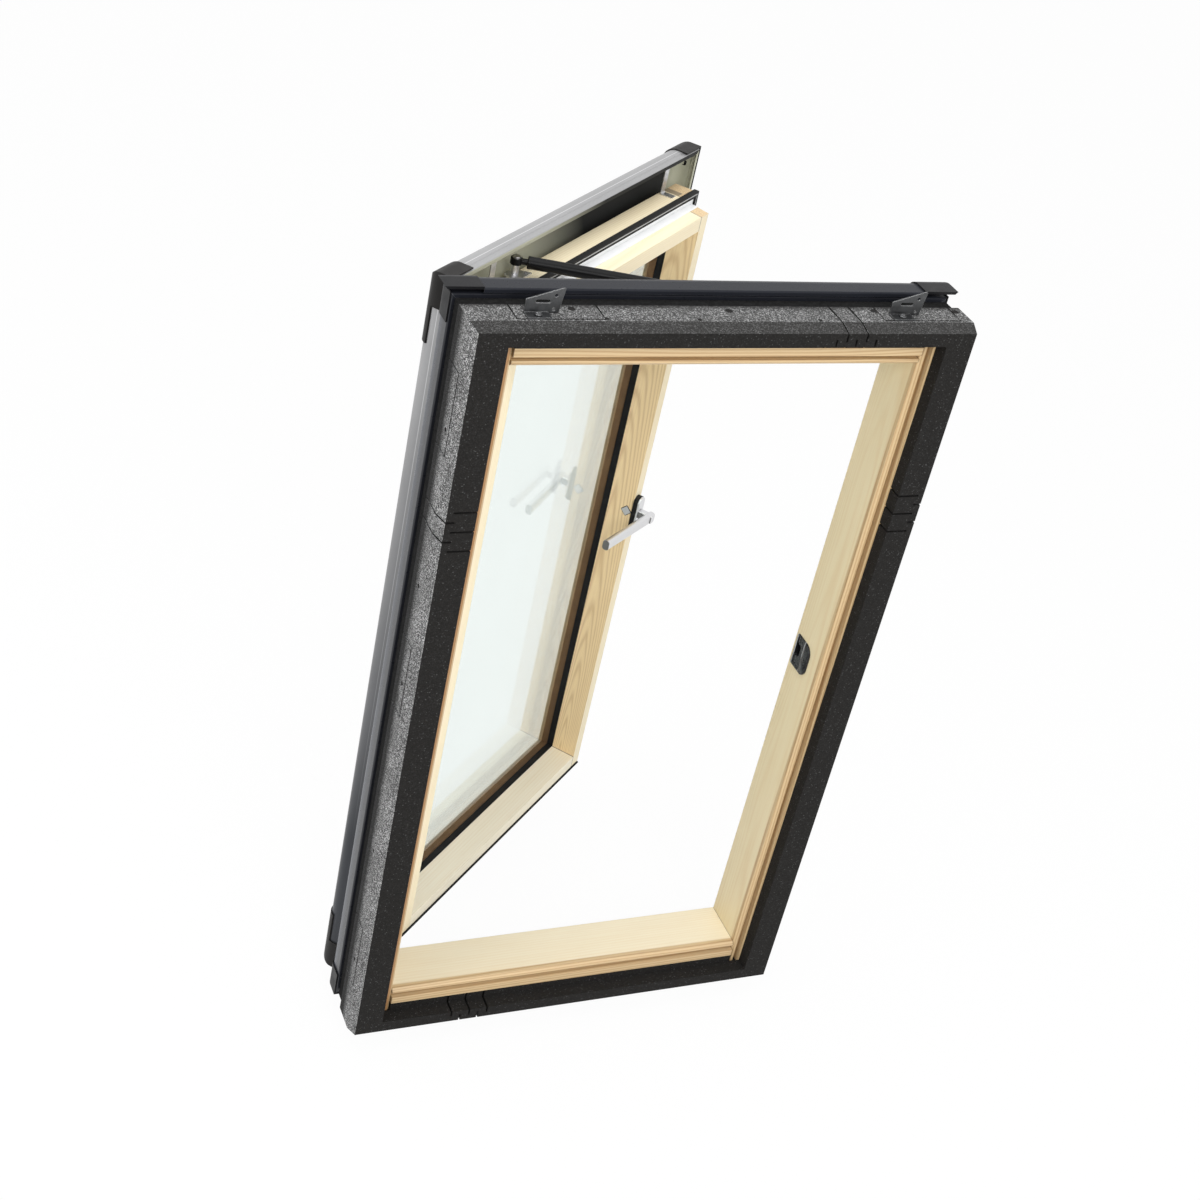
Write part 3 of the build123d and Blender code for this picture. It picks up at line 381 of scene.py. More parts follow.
def bead_foam(name):
    """Bead foam: grey where it is rubbed, black on the room face, in the slits and beside the covers.

    The sides are painted lighter than the top and bottom. The black room face is partly its own skin and
    partly painted shade, the black in the slits and on the sloped flare is painted shade, and beside the
    covers it is painted shadow.
    """
    finish, tree, shader = new_finish(name, Roughness=0.85, Specular_IOR_Level=0.2)
    place = coords(tree)
    wobble = add(tree, "TexNoise", {"Vector": place, "Scale": 500.0, "Detail": 2.0}).outputs["Color"]
    moved = vector_step(tree, "MULTIPLY_ADD", wobble, (0.0005, 0.0005, 0.0005), place)
    beads = add(tree, "TexVoronoi", {"Vector": moved, "Scale": bead_scale}, feature="F1")
    seams = add(tree, "TexVoronoi", {"Vector": moved, "Scale": bead_scale}, feature="DISTANCE_TO_EDGE")
    each = add(tree, "SeparateColor", {"Color": beads.outputs["Color"]}).outputs["Red"]
    # painted light: faces that turn to X, the sides, take lighter beads than the top and bottom
    flank = mask(tree, calc(tree, "ABSOLUTE", facing(tree, right_way)), 0.5, 0.9)
    grey = mix(tree, flank, ramp(tree, each, end_beads_painted_shade), ramp(tree, each, flank_beads_painted_light))
    cloud = noise(tree, place, 22.0, 4.0)
    grey = mix(tree, ramp(tree, cloud, [(0.35, 0.4), (0.65, 0.0)]), grey, cloud_grey)
    # painted shadow: the foam darkens towards the covers
    cover_shadow_mask = mix(tree, flank, along(tree, out_way, 0.012, 0.026), along(tree, out_way, -0.006, 0.011))
    grey = mix(tree, cover_shadow_mask, grey, cover_painted_shadow, 0.94)
    towards_room = facing(tree, room_way)
    # painted shade: on the top and bottom, faces that slope towards the room darken
    sloped_shade_mask = mask(tree, towards_room, 0.10, 0.20, 0.78)
    grey = mix(tree, sloped_shade_mask, grey, sloped_painted_shade, calc(tree, "SUBTRACT", 1.0, flank))
    # The black room face is partly its moulded skin and partly painted shade; faces inside the outer skin,
    # the walls of slits and recesses, get the same black as painted shade.
    room_side = mask(tree, towards_room, 0.55, 0.85)
    across = add(tree, "SeparateXYZ", {"Vector": place}).outputs
    flare = times(tree, along(tree, out_way, block_room, block_flare_end), block_flare)
    inside = []
    for axis, half_size in (("X", block_half_width), ("Z", block_half_height)):
        below_skin = calc(tree, "ADD", flare, half_size - skin)
        inside.append(calc(tree, "LESS_THAN", calc(tree, "ABSOLUTE", across[axis]), below_skin))
    skin_and_painted_shade = calc(tree, "MAXIMUM", room_side, times(tree, *inside))
    colour = mix(tree, skin_and_painted_shade, grey, ramp(tree, each, dark_beads))
    gap = ramp(tree, seams.outputs["Distance"], [(0.0, 1.0), (0.10, 0.0)])
    colour = mix(tree, gap, colour, seam_black, 0.5)
    link(tree, shader, Base_Color=colour)
    dome = mask(tree, seams.outputs["Distance"], 0.0, 0.28)
    pits = noise(tree, place, 620.0, 2.0)
    relief = calc(tree, "ADD", times(tree, dome, 0.7), times(tree, pits, 0.3))
    raised(tree, shader, relief, 0.0005, 0.7, 0.0012)
    return finish


foam = bead_foam("bead_foam")
dress(foam, "insulation_block")

# %% [markdown]
# ## Coated sheet
# The frame covers are folded sheet with a dark satin coating, and the sash covers are grey aluminium whose
# back is a plain olive primer. A coating is smooth with a faint orange-peel relief, so gloss does most of
# the work. Front and back of a sheet differ by the way their normals point, which a dot product can tell
# apart. Some light is painted into the colours: on the hinge side the frame cover gets a painted blue sheen
# and the sash cover painted shade that darkens it downwards, the sash covers get a painted highlight along
# the fold with painted shade beside it, and the back of the top sash cover fades to painted shade towards
# its far end.

# %% Sheet finishes
back_roughness = 0.62
# Painted shade for the back of a sheet towards its far end.
painted_back_shade = (0.012, 0.012, 0.011)
# A painted highlight along the fold of the sash covers, with painted shade beside it.
fold_shine = (0.80, 0.80, 0.81)
fold_shadow, fold_rise, fold_fall = 0.012, 0.0006, 0.0010


def coated_sheet(name, colour, roughness, back=None, back_of=None, metallic=0.0, shine=0.2, painted_shade_end=None,
                 bare=0.02, fold=None, flank=None):
    """Coated sheet with orange peel and rubbed edges; its back is another colour where one is given.

    The back fades to black along a given stretch as painted shade, a fold is a line with a painted
    highlight and painted shade beside it, and a flank is a side that takes another painted tone along a
    stretch."""
    finish, tree, shader = new_finish(name, Metallic=metallic, Specular_IOR_Level=shine)
    place = coords(tree)
    drift = noise(tree, place, 9.0, 4.0)
    rub = noise(tree, place, 140.0, 4.0, 0.65)
    darker = toned(colour, 0.82)
    shade = mix(tree, mask(tree, drift, 0.35, 0.7, 0.7), colour, darker)
    shade = mix(tree, mask(tree, rub, 0.58, 0.75, 0.12), shade, toned(colour, 1.5))
    shade = mix(tree, edge_wear(tree, 0.0007), shade, toned(colour, 1.8, bare), 0.45)
    # painted highlight on the fold line, with painted shade beside it
    if fold is not None:
        way, line = fold
        shade = mix(tree, along(tree, way, line + fold_shadow, line), shade, darker, 0.25)
        before, after = along(tree, way, line - fold_rise, line), along(tree, way, line, line + fold_fall)
        shade = mix(tree, calc(tree, "SUBTRACT", before, after), shade, fold_shine, 0.8)
    # painted tone on a flank: a painted sheen on the frame cover, painted shade on the sash cover
    if flank is not None:
        side, tone, stretch = flank
        turned = mask(tree, facing(tree, side), 0.3, 0.8)
        shade = mix(tree, turned, shade, tone, along(tree, *stretch))
    rough = ramp(tree, rub, [(0.3, roughness), (0.75, roughness + 0.10)])
    if back is not None:
        front = mask(tree, facing(tree, back_of), 0.0, 0.05)
        primer = mix(tree, mask(tree, drift, 0.3, 0.7, 0.5), back, toned(back, 0.8))
        # painted shade: the back fades to black along the given stretch
        if painted_shade_end is not None:
            primer = mix(tree, along(tree, *painted_shade_end), primer, painted_back_shade)
        shade = mix(tree, front, primer, shade)
        rough = mix(tree, front, (back_roughness,) * 3, rough)
    link(tree, shader, Base_Color=shade, Roughness=rough)
    peel = noise(tree, place, 900.0, 2.0)
    raised(tree, shader, peel, 0.00004, 0.5, 0.0006)
    return finish


anthracite = (0.017, 0.0185, 0.024)
sash_grey = (0.38, 0.38, 0.385)
primer_olive = (0.52, 0.52, 0.41)
dark_sheet = coated_sheet("anthracite_sheet", anthracite, 0.26, shine=0.12, bare=0.25)
dress(dark_sheet, *(f"frame_cover_{s}" for s in ("top", "right", "bottom")), "frame_hood")
# Painted sheen: a blue reflection painted into the left frame cover's flank, growing outwards.
painted_sheen_blue = (0.095, 0.106, 0.132)
painted_sheen = (left_way, painted_sheen_blue, (out_way, 0.066, 0.092))
painted_sheen_sheet = coated_sheet("anthracite_painted_sheen", anthracite, 0.26, shine=0.4, bare=0.25, flank=painted_sheen)
dress(painted_sheen_sheet, "frame_cover_left")

fold_y = 0.124
fold = (sash_out, hinge_point.dot(sash_out) + fold_y - hinge_point.y)
# The back of the top sash cover fades to painted shade towards its far end.
top_middle = sum(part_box("sash_cover_top"), Vector()).dot(sash_across) / 2
top_back_shade = (sash_across, top_middle - 0.16, top_middle + 0.05)
# Painted shade that darkens the hinge flank of the sash cover downwards.
flank_shade = (0.040, 0.043, 0.050)
hinge_flank_painted_shade = (-sash_across, flank_shade, (down, -0.55, 0.35))
side_directions = {"top": up, "bottom": -up, "right": sash_across, "left": -sash_across}
for side, direction in side_directions.items():
    sheet = coated_sheet(
        "grey_sheet_" + side, sash_grey, 0.34, back=primer_olive, metallic=0.35, shine=0.28, fold=fold,
        back_of=(direction + 0.6 * sash_out).normalized(),
        painted_shade_end=top_back_shade if side == "top" else None,
        flank=hinge_flank_painted_shade if side == "left" else None,
    )
    dress(sheet, "sash_cover_" + side)

# %% [markdown]
# ## Moulded plastic
# Corner pieces, rosette and lock keep are moulded. Eroded tools leave a fine even grain on matt plastic and
# almost none on glossy plastic, so one recipe covers them all, with a grain depth for each.

# %% Plastic finishes
ridge_pale = (0.42, 0.43, 0.44)
ridge_half_width = 0.0009
plastic_top = 0.95


def moulded(name, colour, roughness, grain_depth, grain_size=1500.0, shine=0.14, lines=()):
    """Moulded plastic with an eroded grain; lines are distances along Y where ridges are rubbed pale."""
    finish, tree, shader = new_finish(name, Specular_IOR_Level=shine)
    place = coords(tree)
    grain = noise(tree, place, grain_size, 3.0, 0.6)
    smear = noise(tree, place, 40.0, 4.0)
    smeared, grained = toned(colour, 1.35, 0.0, plastic_top), toned(colour, 1.8, 0.01, plastic_top)
    shade = mix(tree, mask(tree, smear, 0.35, 0.7, 0.6), colour, smeared)
    shade = mix(tree, mask(tree, grain, 0.6, 0.8, 0.18), shade, grained)
    rubbed = toned(colour, 1.6, 0.03, plastic_top)
    shade = mix(tree, edge_wear(tree, 0.0006), shade, rubbed, 0.3)
    for line in lines:
        depth = add(tree, "SeparateXYZ", {"Vector": place}).outputs["Y"]
        near = calc(tree, "COMPARE", depth, line, ridge_half_width)
        shade = mix(tree, near, shade, ridge_pale, 0.9)
    rough = ramp(tree, smear, [(0.3, roughness - 0.05), (0.7, roughness + 0.08)])
    link(tree, shader, Base_Color=shade, Roughness=rough)
    raised(tree, shader, grain, grain_depth, 0.6, 0.0008)
    return finish


flanks = ("left", "right")
corner_names = [f"{end}_{flank}" for end in ("top", "bottom") for flank in flanks]
cap_plastic = moulded("cap_plastic", (0.014, 0.013, 0.0125), 0.42, 0.00008)
corner_black = moulded("corner_black", (0.009, 0.009, 0.010), 0.40, 0.00008)
keep_black = (0.008, 0.008, 0.010)
# Black plastic for the rosette; the same finish is painted shade round the lock plate and in the cover's
# hole.
black_plastic_and_painted_shade = moulded("black_plastic_and_painted_shade", (0.014, 0.014, 0.014), 0.45, 0.00006)
dress(cap_plastic, *("corner_cap_" + corner for corner in corner_names))
dress(corner_black, *("frame_corner_" + corner for corner in corner_names))
dress(moulded("keep_gloss", keep_black, 0.22, 0.00003, shine=0.4), "strike_keep")
dress(black_plastic_and_painted_shade, "handle_base")

# %% [markdown]
# ## Rubber and felt
# Seals are matt extruded rubber with a little dust and bloom. The collar is a black underlay membrane, a
# pressed felt, so it gets short crossed fibres.

# %% Rubber and felt finishes
def rubber(name, colour):
    """Matt rubber with dusty patches and a fine bloom."""
    finish, tree, shader = new_finish(name, Roughness=0.6, Specular_IOR_Level=0.15)
    place = coords(tree)
    dust = noise(tree, place, 55.0, 5.0, 0.65)
    bloom = noise(tree, place, 800.0, 2.0)
    shade = mix(tree, mask(tree, dust, 0.5, 0.8, 0.5), colour, toned(colour, 1.0, 0.02))
    link(tree, shader, Base_Color=shade, Roughness=ramp(tree, dust, [(0.3, 0.52), (0.7, 0.68)]))
    raised(tree, shader, bloom, 0.00006, 0.5)
    return finish


def felt(name):
    """Black felt of two crossed sets of short fibres."""
    finish, tree, shader = new_finish(name, Roughness=0.95, Specular_IOR_Level=0.1)
    place = coords(tree)
    first = noise(tree, stretched(tree, place, (1, 0.25, 0.2)), 900.0, 3.0)
    second = noise(tree, stretched(tree, place, (0.2, 0.3, 1)), 900.0, 3.0)
    fibres = calc(tree, "MAXIMUM", first, second)
    link(tree, shader, Base_Color=ramp(tree, fibres, [(0.4, 0.004), (0.7, 0.016)]))
    raised(tree, shader, fibres, 0.0004, 0.8)
    return finish


seal_rubber = rubber("seal_rubber", (0.012, 0.012, 0.012))
dress(seal_rubber, "glazing_seal", "outer_gasket", "weather_gasket", "sash_bottom_seal")
dress(felt("collar_felt"), "underlay_collar")

# %% [markdown]
# ## Metals
# Galvanised steel shows crystals of zinc, and the handle is satin anodised with very fine brush lines. Both
# are metallic shaders whose roughness carries the pattern. The strut's painted tube, the spacer and the
# seal carrier use the recipes from before.

# %% Metal finishes
def galvanised(name, colour):
    """Zinc with crystals, stains and bright rubbed edges."""
    finish, tree, shader = new_finish(name, Metallic=1.0)
    place = coords(tree)
    spangle = add(tree, "TexVoronoi", {"Vector": place, "Scale": 260.0}, feature="F1")
    crystal = add(tree, "SeparateColor", {"Color": spangle.outputs["Color"]}).outputs["Green"]
    stain = noise(tree, place, 70.0, 5.0, 0.6)
    shade = mix(tree, mask(tree, crystal, 0.0, 1.0, 0.5), colour, toned(colour, 0.72))
    shade = mix(tree, mask(tree, stain, 0.5, 0.75, 0.6), shade, toned(colour, 0.4))
    shade = mix(tree, edge_wear(tree, 0.0006), shade, toned(colour, 1.6, 0.28))
    link(tree, shader, Base_Color=shade, Roughness=ramp(tree, crystal, [(0.0, 0.28), (1.0, 0.46)]))
    raised(tree, shader, stain, 0.00005, 0.5, 0.0004)
    return finish


brushed_up, brushed_across = (2000, 2000, 60), (60, 2000, 2000)


def satin_metal(name, colour, roughness, brush=brushed_up, turn=(0, 0, 0), darker_end=None):
    """Satin metal with brush lines; an end that faces a given way is darker."""
    finish, tree, shader = new_finish(name, Metallic=1.0)
    place = coords(tree, turn)
    lines = noise(tree, stretched(tree, place, brush), 1.0, 3.0, 0.6)
    cloud = noise(tree, place, 60.0, 3.0)
    shade = mix(tree, mask(tree, lines, 0.35, 0.7, 0.35), colour, toned(colour, 0.82))
    if darker_end is not None:
        end = mask(tree, facing(tree, darker_end), 0.78, 0.90)
        shade = mix(tree, end, shade, toned(colour, 0.32))
    spread = calc(tree, "ADD", times(tree, lines, 0.14), times(tree, cloud, 0.08))
    link(tree, shader, Base_Color=shade, Roughness=calc(tree, "ADD", spread, roughness - 0.10))
    raised(tree, shader, lines, 0.00003, 0.4, 0.0006)
    return finish


zinc = galvanised("zinc_plate", (0.27, 0.275, 0.28))
dark_zinc = galvanised("dark_zinc_plate", (0.115, 0.117, 0.12))
bracket_names = [f"bracket_{level}_{flank}" for level in ("upper", "lower") for flank in flanks]
dress(dark_zinc, *bracket_names, "bracket_screws")
dress(zinc, "hinge_frame_leaves", "hinge_sash_leaves", "strut_frame_bracket", "lock_case", "lock_bolt")
dress(galvanised("bright_zinc", (0.62, 0.62, 0.63)), "strut_sash_bracket", "cover_clips")
dress(satin_metal("pin_steel", (0.5, 0.5, 0.51), 0.28), "hinge_pins")
back_turn = (0, 0, -open_angle)
satin_silver = (0.74, 0.74, 0.75)
lever_satin = satin_metal("lever_satin", satin_silver, 0.30, brushed_across, back_turn, -sash_across)
dress(lever_satin, "handle_lever")
dress(satin_metal("handle_satin", satin_silver, 0.30, brushed_across, back_turn), "handle_cover")
dress(satin_metal("plate_satin", (0.62, 0.62, 0.63), 0.30, brushed_up, back_turn), "lock_plate")
dress(satin_metal("rod_burnished", (0.07, 0.07, 0.075), 0.22), "strut_rod")
dress(moulded("spacer_brown", (0.30, 0.165, 0.08), 0.5, 0.00004), "glass_spacer")
dress(coated_sheet("strut_paint", (0.005, 0.005, 0.0055), 0.28, shine=0.12), "strut_tube")
dress(moulded("carrier_white", (0.88, 0.89, 0.90), 0.40, 0.00005, shine=0.5), "seal_carrier")

# %% [markdown]
# ## Glass
# Each pane is a real 4 mm sheet, so a transmitting shader bends and reflects light at both faces by itself.
# Float glass is faintly green, and rain and hands leave a barely rough film, which the roughness carries.

# %% Glass finish
def float_glass(name, tint):
    """Clear glass with a tint and a thin uneven film."""
    finish, tree, shader = new_finish(name, Transmission_Weight=1.0, IOR=1.5)
    place = coords(tree)
    film = noise(tree, place, 6.0, 5.0, 0.6)
    colour = mix(tree, mask(tree, film, 0.3, 0.7), tint, toned(tint, 0.985))
    link(tree, shader, Base_Color=colour, Roughness=mask(tree, film, 0.45, 0.8, 0.03))
    return finish


dress(float_glass("float_glass", (0.93, 0.965, 0.95)), "inner_pane", "outer_pane")

# %% [markdown]
# ## Computed pieces
# Small mouldings and fasteners can be modelled by hand, vertex by vertex, or computed: a shape is a
# function of two parameters on a grid, so one line of arithmetic on whole arrays places every point. A few
# helpers are enough: they number the faces of a grid, copy and join grids, turn arrays into a piece that
# rides on a body, and carry points from the closed sash, where they are easy to state, to the open one.

# %% Grid helpers
weld_distance = 1e-6
sharp_angle = math.radians(40)


def grid_faces(rows, columns, closed_rows=False, closed_columns=False):
    """Corner numbers of the quads of a grid: each point, its neighbour in the row, and the two below them."""
    row = np.arange(rows if closed_rows else rows - 1)[:, None]
    column = np.arange(columns if closed_columns else columns - 1)[None, :]
    below, beside = (row + 1) % rows, (column + 1) % columns
    steps = [(row, column), (row, beside), (below, beside), (below, column)]
    corners = [r * columns + c for r, c in steps]
    return np.stack(np.broadcast_arrays(*corners), -1).reshape(-1, 4)


def copied(places, axis, across, u, v, height, quads):
    """Copies of a grid standing along an axis: place + u across + v (axis x across) + height axis."""
    axis, across = np.array(axis, dtype=float), np.array(across, dtype=float)
    stand = u[..., None] * across + v[..., None] * np.cross(axis, across) + height[..., None] * axis
    starts = u.size * np.arange(len(places))[:, None, None]
    return np.array(places)[:, None, None, :] + stand[None], (quads[None] + starts).reshape(-1, 4)


def joined(*groups):
    """Several groups of points and quads as one, with the face numbers moved on."""
    flat = [points.reshape(-1, 3) for points, _ in groups]
    starts = np.cumsum([0] + [len(points) for points in flat[:-1]])
    return np.concatenate(flat), np.concatenate([quads + start for (_, quads), start in zip(groups, starts)])


def new_piece(name, points, quads, finish, body, slot, wall=0.0):
    """A smooth mesh piece from whole arrays of points and quads, riding on a body. A wall makes it a shell.

    Points that fall on one another, at seams and poles, are welded."""
    mesh = bpy.data.meshes.new(name)
    mesh.from_pydata(points.reshape(-1, 3).tolist(), [], quads.tolist())
    weld = bmesh.new()
    weld.from_mesh(mesh)
    bmesh.ops.remove_doubles(weld, verts=weld.verts[:], dist=weld_distance)
    weld.to_mesh(mesh)
    weld.free()
    mesh.polygons.foreach_set("use_smooth", np.ones(len(mesh.polygons), dtype=bool))
    mesh.set_sharp_from_angle(angle=sharp_angle)
    mesh.materials.append(finish)
    piece = bpy.data.objects.new(name, mesh)
    bpy.context.scene.collection.objects.link(piece)
    if wall:
        shell = piece.modifiers.new("wall", "SOLIDIFY")
        shell.thickness, shell.offset = wall, -1
    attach(piece, body)
    print(name, len(mesh.polygons), "faces on", body)
    return piece


def opened(points):
    """Points of the closed sash, turned about the hinge line to where the sash stands: R (p - h) + h."""
    turn = np.array(Matrix.Rotation(open_angle, 3, "Z"))
    return (points - np.array(hinge_point)) @ turn.T + np.array(hinge_point)


def millimetres(*values):
    """Lengths given in millimetres, as an array in metres."""
    return np.array(values, dtype=float) / 1000


print("piece helpers ready")

# %% [markdown]
# ## Screws
# The brackets, hinges and strut plates are held by screws with a low dome and a cross recess. A polar grid
# would fray the straight arms of the cross, so the head is a square grid bent into a disc: its lines run
# along the arms, which stay crisp. Past the rim the same grid goes down to the seat and closes under the
# head.

# %% Screw heads
def screw_heads(places, axis, across, radius, height, cells=32):
    """Round heads with a cross recess.

    A square grid (s, t) becomes a disc by u = s sqrt(1 - t^2 / 2), v = t sqrt(1 - s^2 / 2). The height is a
    dome 1 - 0.35 r^2, less half a height in the cross: where the smaller of |u| and |v| is under about 0.17
    and the larger under about 0.62. Beyond a reach of 1 the point stays on the rim and falls to the seat, and
    beyond 1.2 it runs under the head to the middle."""
    line = np.linspace(-1.4, 1.4, cells + 1)
    s, t = np.meshgrid(line, line, indexing="ij")
    reach = np.maximum(np.maximum(abs(s), abs(t)), 1e-9)
    inside = np.minimum(reach, 1) / reach
    a, b = s * inside, t * inside
    under = 1 - np.clip((reach - 1.2) / 0.2, 0, 1)
    u, v = a * np.sqrt(1 - b * b / 2) * under, b * np.sqrt(1 - a * a / 2) * under
    arm = np.clip((0.20 - np.minimum(abs(u), abs(v))) / 0.06, 0, 1)
    arm = arm * np.clip((0.66 - np.maximum(abs(u), abs(v))) / 0.08, 0, 1)
    fall = 1 - np.clip((reach - 1) / 0.2, 0, 1)
    rise = (1 - 0.35 * (u * u + v * v) - 0.5 * arm) * fall
    quads = grid_faces(cells + 1, cells + 1)[:, ::-1]
    return copied(places, axis, across, radius * u, radius * v, height * rise, quads)


bracket_head = head_radius, head_height = 0.005, 0.003
low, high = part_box("bracket_screws")
middle_y = (low.y + high.y) / 2
seats = [(x, middle_y) for x in (low.x + head_radius, high.x - head_radius)]
upper = screw_heads([(x, y, high.z - head_height) for x, y in seats], up, right_way, *bracket_head)
lower = screw_heads([(x, y, low.z + head_height) for x, y in seats], down, right_way, *bracket_head)
bracket_heads = joined(upper, lower)
bracket_screws = new_piece("bracket_screw_heads", *bracket_heads, dark_zinc, "frame", "galvanised_steel")
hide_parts("bracket_screws")

hinge_heights = np.array([-0.42, 0.0, 0.42])
fitting_head, leaf_head, plate_head = (0.0035, 0.0011), (0.0035, 0.0010), (0.0033, 0.0011)
leaf_spread, strut_spread, plate_spread = 0.024, 0.013, 0.0145
pairs = (hinge_heights[:, None] + np.array([-leaf_spread, leaf_spread])).ravel()
frame_leaf_x, frame_seat_y, strut_seat_z = -0.3325, 0.075, 0.5925
strut_low, strut_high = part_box("strut_frame_bracket")
strut_x = (strut_low.x + strut_high.x) / 2
leaf_seats = [(frame_leaf_x, frame_seat_y, z) for z in pairs]
strut_seats = [(strut_x + shift, frame_seat_y, strut_seat_z) for shift in (-strut_spread, strut_spread)]
frame_heads = screw_heads(leaf_seats + strut_seats, out_way, up, *fitting_head)
new_piece("frame_fitting_screws", *frame_heads, zinc, "frame", "steel_fittings")

sash_leaf_x, sash_leaf_y = -0.326, 0.097
plate_x, plate_y, plate_z = -0.195, 0.1015, 0.5855
plate_seats = [(plate_x + shift, plate_y, plate_z) for shift in (-plate_spread, plate_spread)]
leaf_heads = screw_heads([(sash_leaf_x, sash_leaf_y, z) for z in pairs], left_way, up, *leaf_head)
plate_heads = screw_heads(plate_seats, up, right_way, *plate_head)
sash_points, sash_faces = joined(leaf_heads, plate_heads)
new_piece("sash_fitting_screws", opened(sash_points), sash_faces, zinc, "sash", "steel_fittings")

# %% [markdown]
# ## Vent marks
# The mould that the foam is blown in lets steam out through small vents, and each leaves a round mark
# with a raised rim on the outer faces; its near-black colour is painted shade of the small dimple. They
# could be painted, but a rim that catches light needs a shape: a disc of rings and spokes whose height
# depends on the radius alone.

# %% Vent marks
def vent_marks(places, axis, across, radius, rings=9, spokes=24):
    """Round marks on a grid of rings and spokes.

    The height is 0.12 mm, plus a bead of 0.38 mm that is a sine of the way from 0.6 of the radius to the rim.
    Two more rings, below the skin, close the mark underneath."""
    r = np.append(np.linspace(0, 1, rings), [1, 0])[:, None]
    angle = np.linspace(0, 2 * math.pi, spokes, endpoint=False)[None, :]
    height = 0.00012 + 0.00038 * np.sin(np.clip((r - 0.6) / 0.4, 0, 1) * math.pi)
    height[-2:] = -0.0004
    u, v = radius * r * np.cos(angle), radius * r * np.sin(angle)
    quads = grid_faces(rings + 2, spokes, closed_columns=True)[:, ::-1]
    return copied(places, axis, across, u, v, height + 0 * angle, quads)


face_z, face_x, side_y = 0.6385, 0.3785, -0.004
large, small = 0.0055, 0.0032
large_places = [(-0.2264, 0.013), (0.0028, 0.0096), (0.232, 0.0125), (0.3655, 0.011)]
small_places = [(-0.1863, -0.0137), (-0.0525, -0.0160), (0.1314, -0.0160)]
side_heights = (-0.50, -0.27, 0.05, 0.22, 0.47)
marks = joined(
    vent_marks([(x, y, face_z) for x, y in large_places], up, right_way, large),
    vent_marks([(x, y, face_z) for x, y in small_places], up, right_way, small),
    vent_marks([(x, y, -face_z) for x, y in large_places], down, right_way, large),
    vent_marks([(-face_x, side_y, z) for z in side_heights], left_way, up, small),
    vent_marks([(face_x, side_y, z) for z in side_heights], right_way, up, small),
)
# The marks' near-black colour is painted shade of the small dimples.
vent_painted_shade = moulded("vent_painted_shade", (0.010, 0.0095, 0.009), 0.7, 0.00010, 900.0)
new_piece("foam_vent_marks", *marks, vent_painted_shade, "frame", "insulation_foam")

# %% [markdown]
# ## Grey strip in the weather seal
# The black weather seal has a groove with a grey core showing in it. A profile of a few points is carried
# once round a rectangle: at each corner the points move out along the mitre, so four stations make the
# ring.

# %% Seal strip
def carried_round(profile, half_width, half_height):
    """Carries a closed profile of (outwards, Y) points round a rectangle, one station at each mitred corner.

    The corner with signs (a, b) has its points at x = a (half width + out) and z = b (half height + out)."""
    signs = np.array([[1, 1], [1, -1], [-1, -1], [-1, 1]])
    out, depth = profile[:, 0], profile[:, 1]
    x = signs[:, :1] * (half_width + out)
    z = signs[:, 1:] * (half_height + out)
    return np.stack([x, np.broadcast_to(depth, x.shape), z], -1)


half_circle = np.linspace(0, math.pi, 9)
core_middle, core_half, core_face, core_rise = 0.0045, 0.00145, 0.0742, 0.0008
core_out = core_middle - core_half * np.cos(half_circle)
core_depth = core_face - core_rise * np.sin(half_circle)
core_back = millimetres([5.9, 74.65], [3.1, 74.65])
strip = np.concatenate([np.stack([core_out, core_depth], -1), core_back])
strip_points = carried_round(strip, half_width=0.316, half_height=0.576)
strip_faces = grid_faces(4, len(strip), True, True)[:, ::-1]
strip_grey = moulded("strip_grey", (0.40, 0.405, 0.41), 0.42, 0.00004, shine=0.3)
new_piece("seal_core_strip", opened(strip_points), strip_faces, strip_grey, "sash", "black_seal")

# %% [markdown]
# ## Lip of the bottom seal
# Along its lower edge the sash carries a soft black lip that stands a little into the room and keeps rain
# out when the window is shut. An extruded seal is one section carried along a line, here an oval, and its
# ends are closed by drawing the last sections together to a point.

# %% Seal lip
def carried_along(section, reach):
    """Carries a closed (Y, Z) section along X from -reach to reach, with both ends drawn to the middle."""
    middle = section.mean(axis=0)
    share = np.array([0, 1, 1, 0])[:, None, None]
    flat = middle + share * (section - middle)
    x = np.array([-reach, -reach, reach, reach])[:, None, None] + np.zeros((1, len(section), 1))
    return np.concatenate([x, flat], -1), grid_faces(4, len(section), closed_columns=True)


oval = np.linspace(0, 2 * math.pi, 16, endpoint=False)
lip_middle, lip_half_size = millimetres(41.0, -567.2), millimetres(2.6, 1.9)
lip_section = lip_middle + lip_half_size * np.stack([np.cos(oval), np.sin(oval)], -1)
lip, lip_faces = carried_along(lip_section, reach=0.304)
new_piece("bottom_seal_lip", opened(lip), lip_faces, seal_rubber, "sash", "black_seal")

# %% [markdown]
# ## Lock keep
# The keep is one glossy moulding: a plate with a round room side, a swell that guides the sash, and a
# channel between two ridges that is deep where the bolt enters and rises to the surface below. Such a form
# is a height over a flat outline, so a grid is stretched to the outline and the height is a sum of smooth
# terms. The lengths of this cell are in millimetres.

# %% Keep
def smooth_step(value, start, end):
    """0 before start and 1 after end, with a soft S between: 3 w^2 - 2 w^3."""
    w = np.clip((value - start) / (end - start), 0, 1)
    return w * w * (3 - 2 * w)


jamb_face, keep_middle = 310, 8
half_high, room_arc, corner_arc = 29, 18, 4
room_arc_y, corner_arc_y = 37, 63
near_ridge, far_ridge, ridge_width = 39.5, 63.8, 0.9
bolt_half_high = 12.5


def ridge(distance):
    """A bell: e to the power of minus the square of the distance over the ridge's width."""
    return np.exp(-((distance / ridge_width) ** 2))


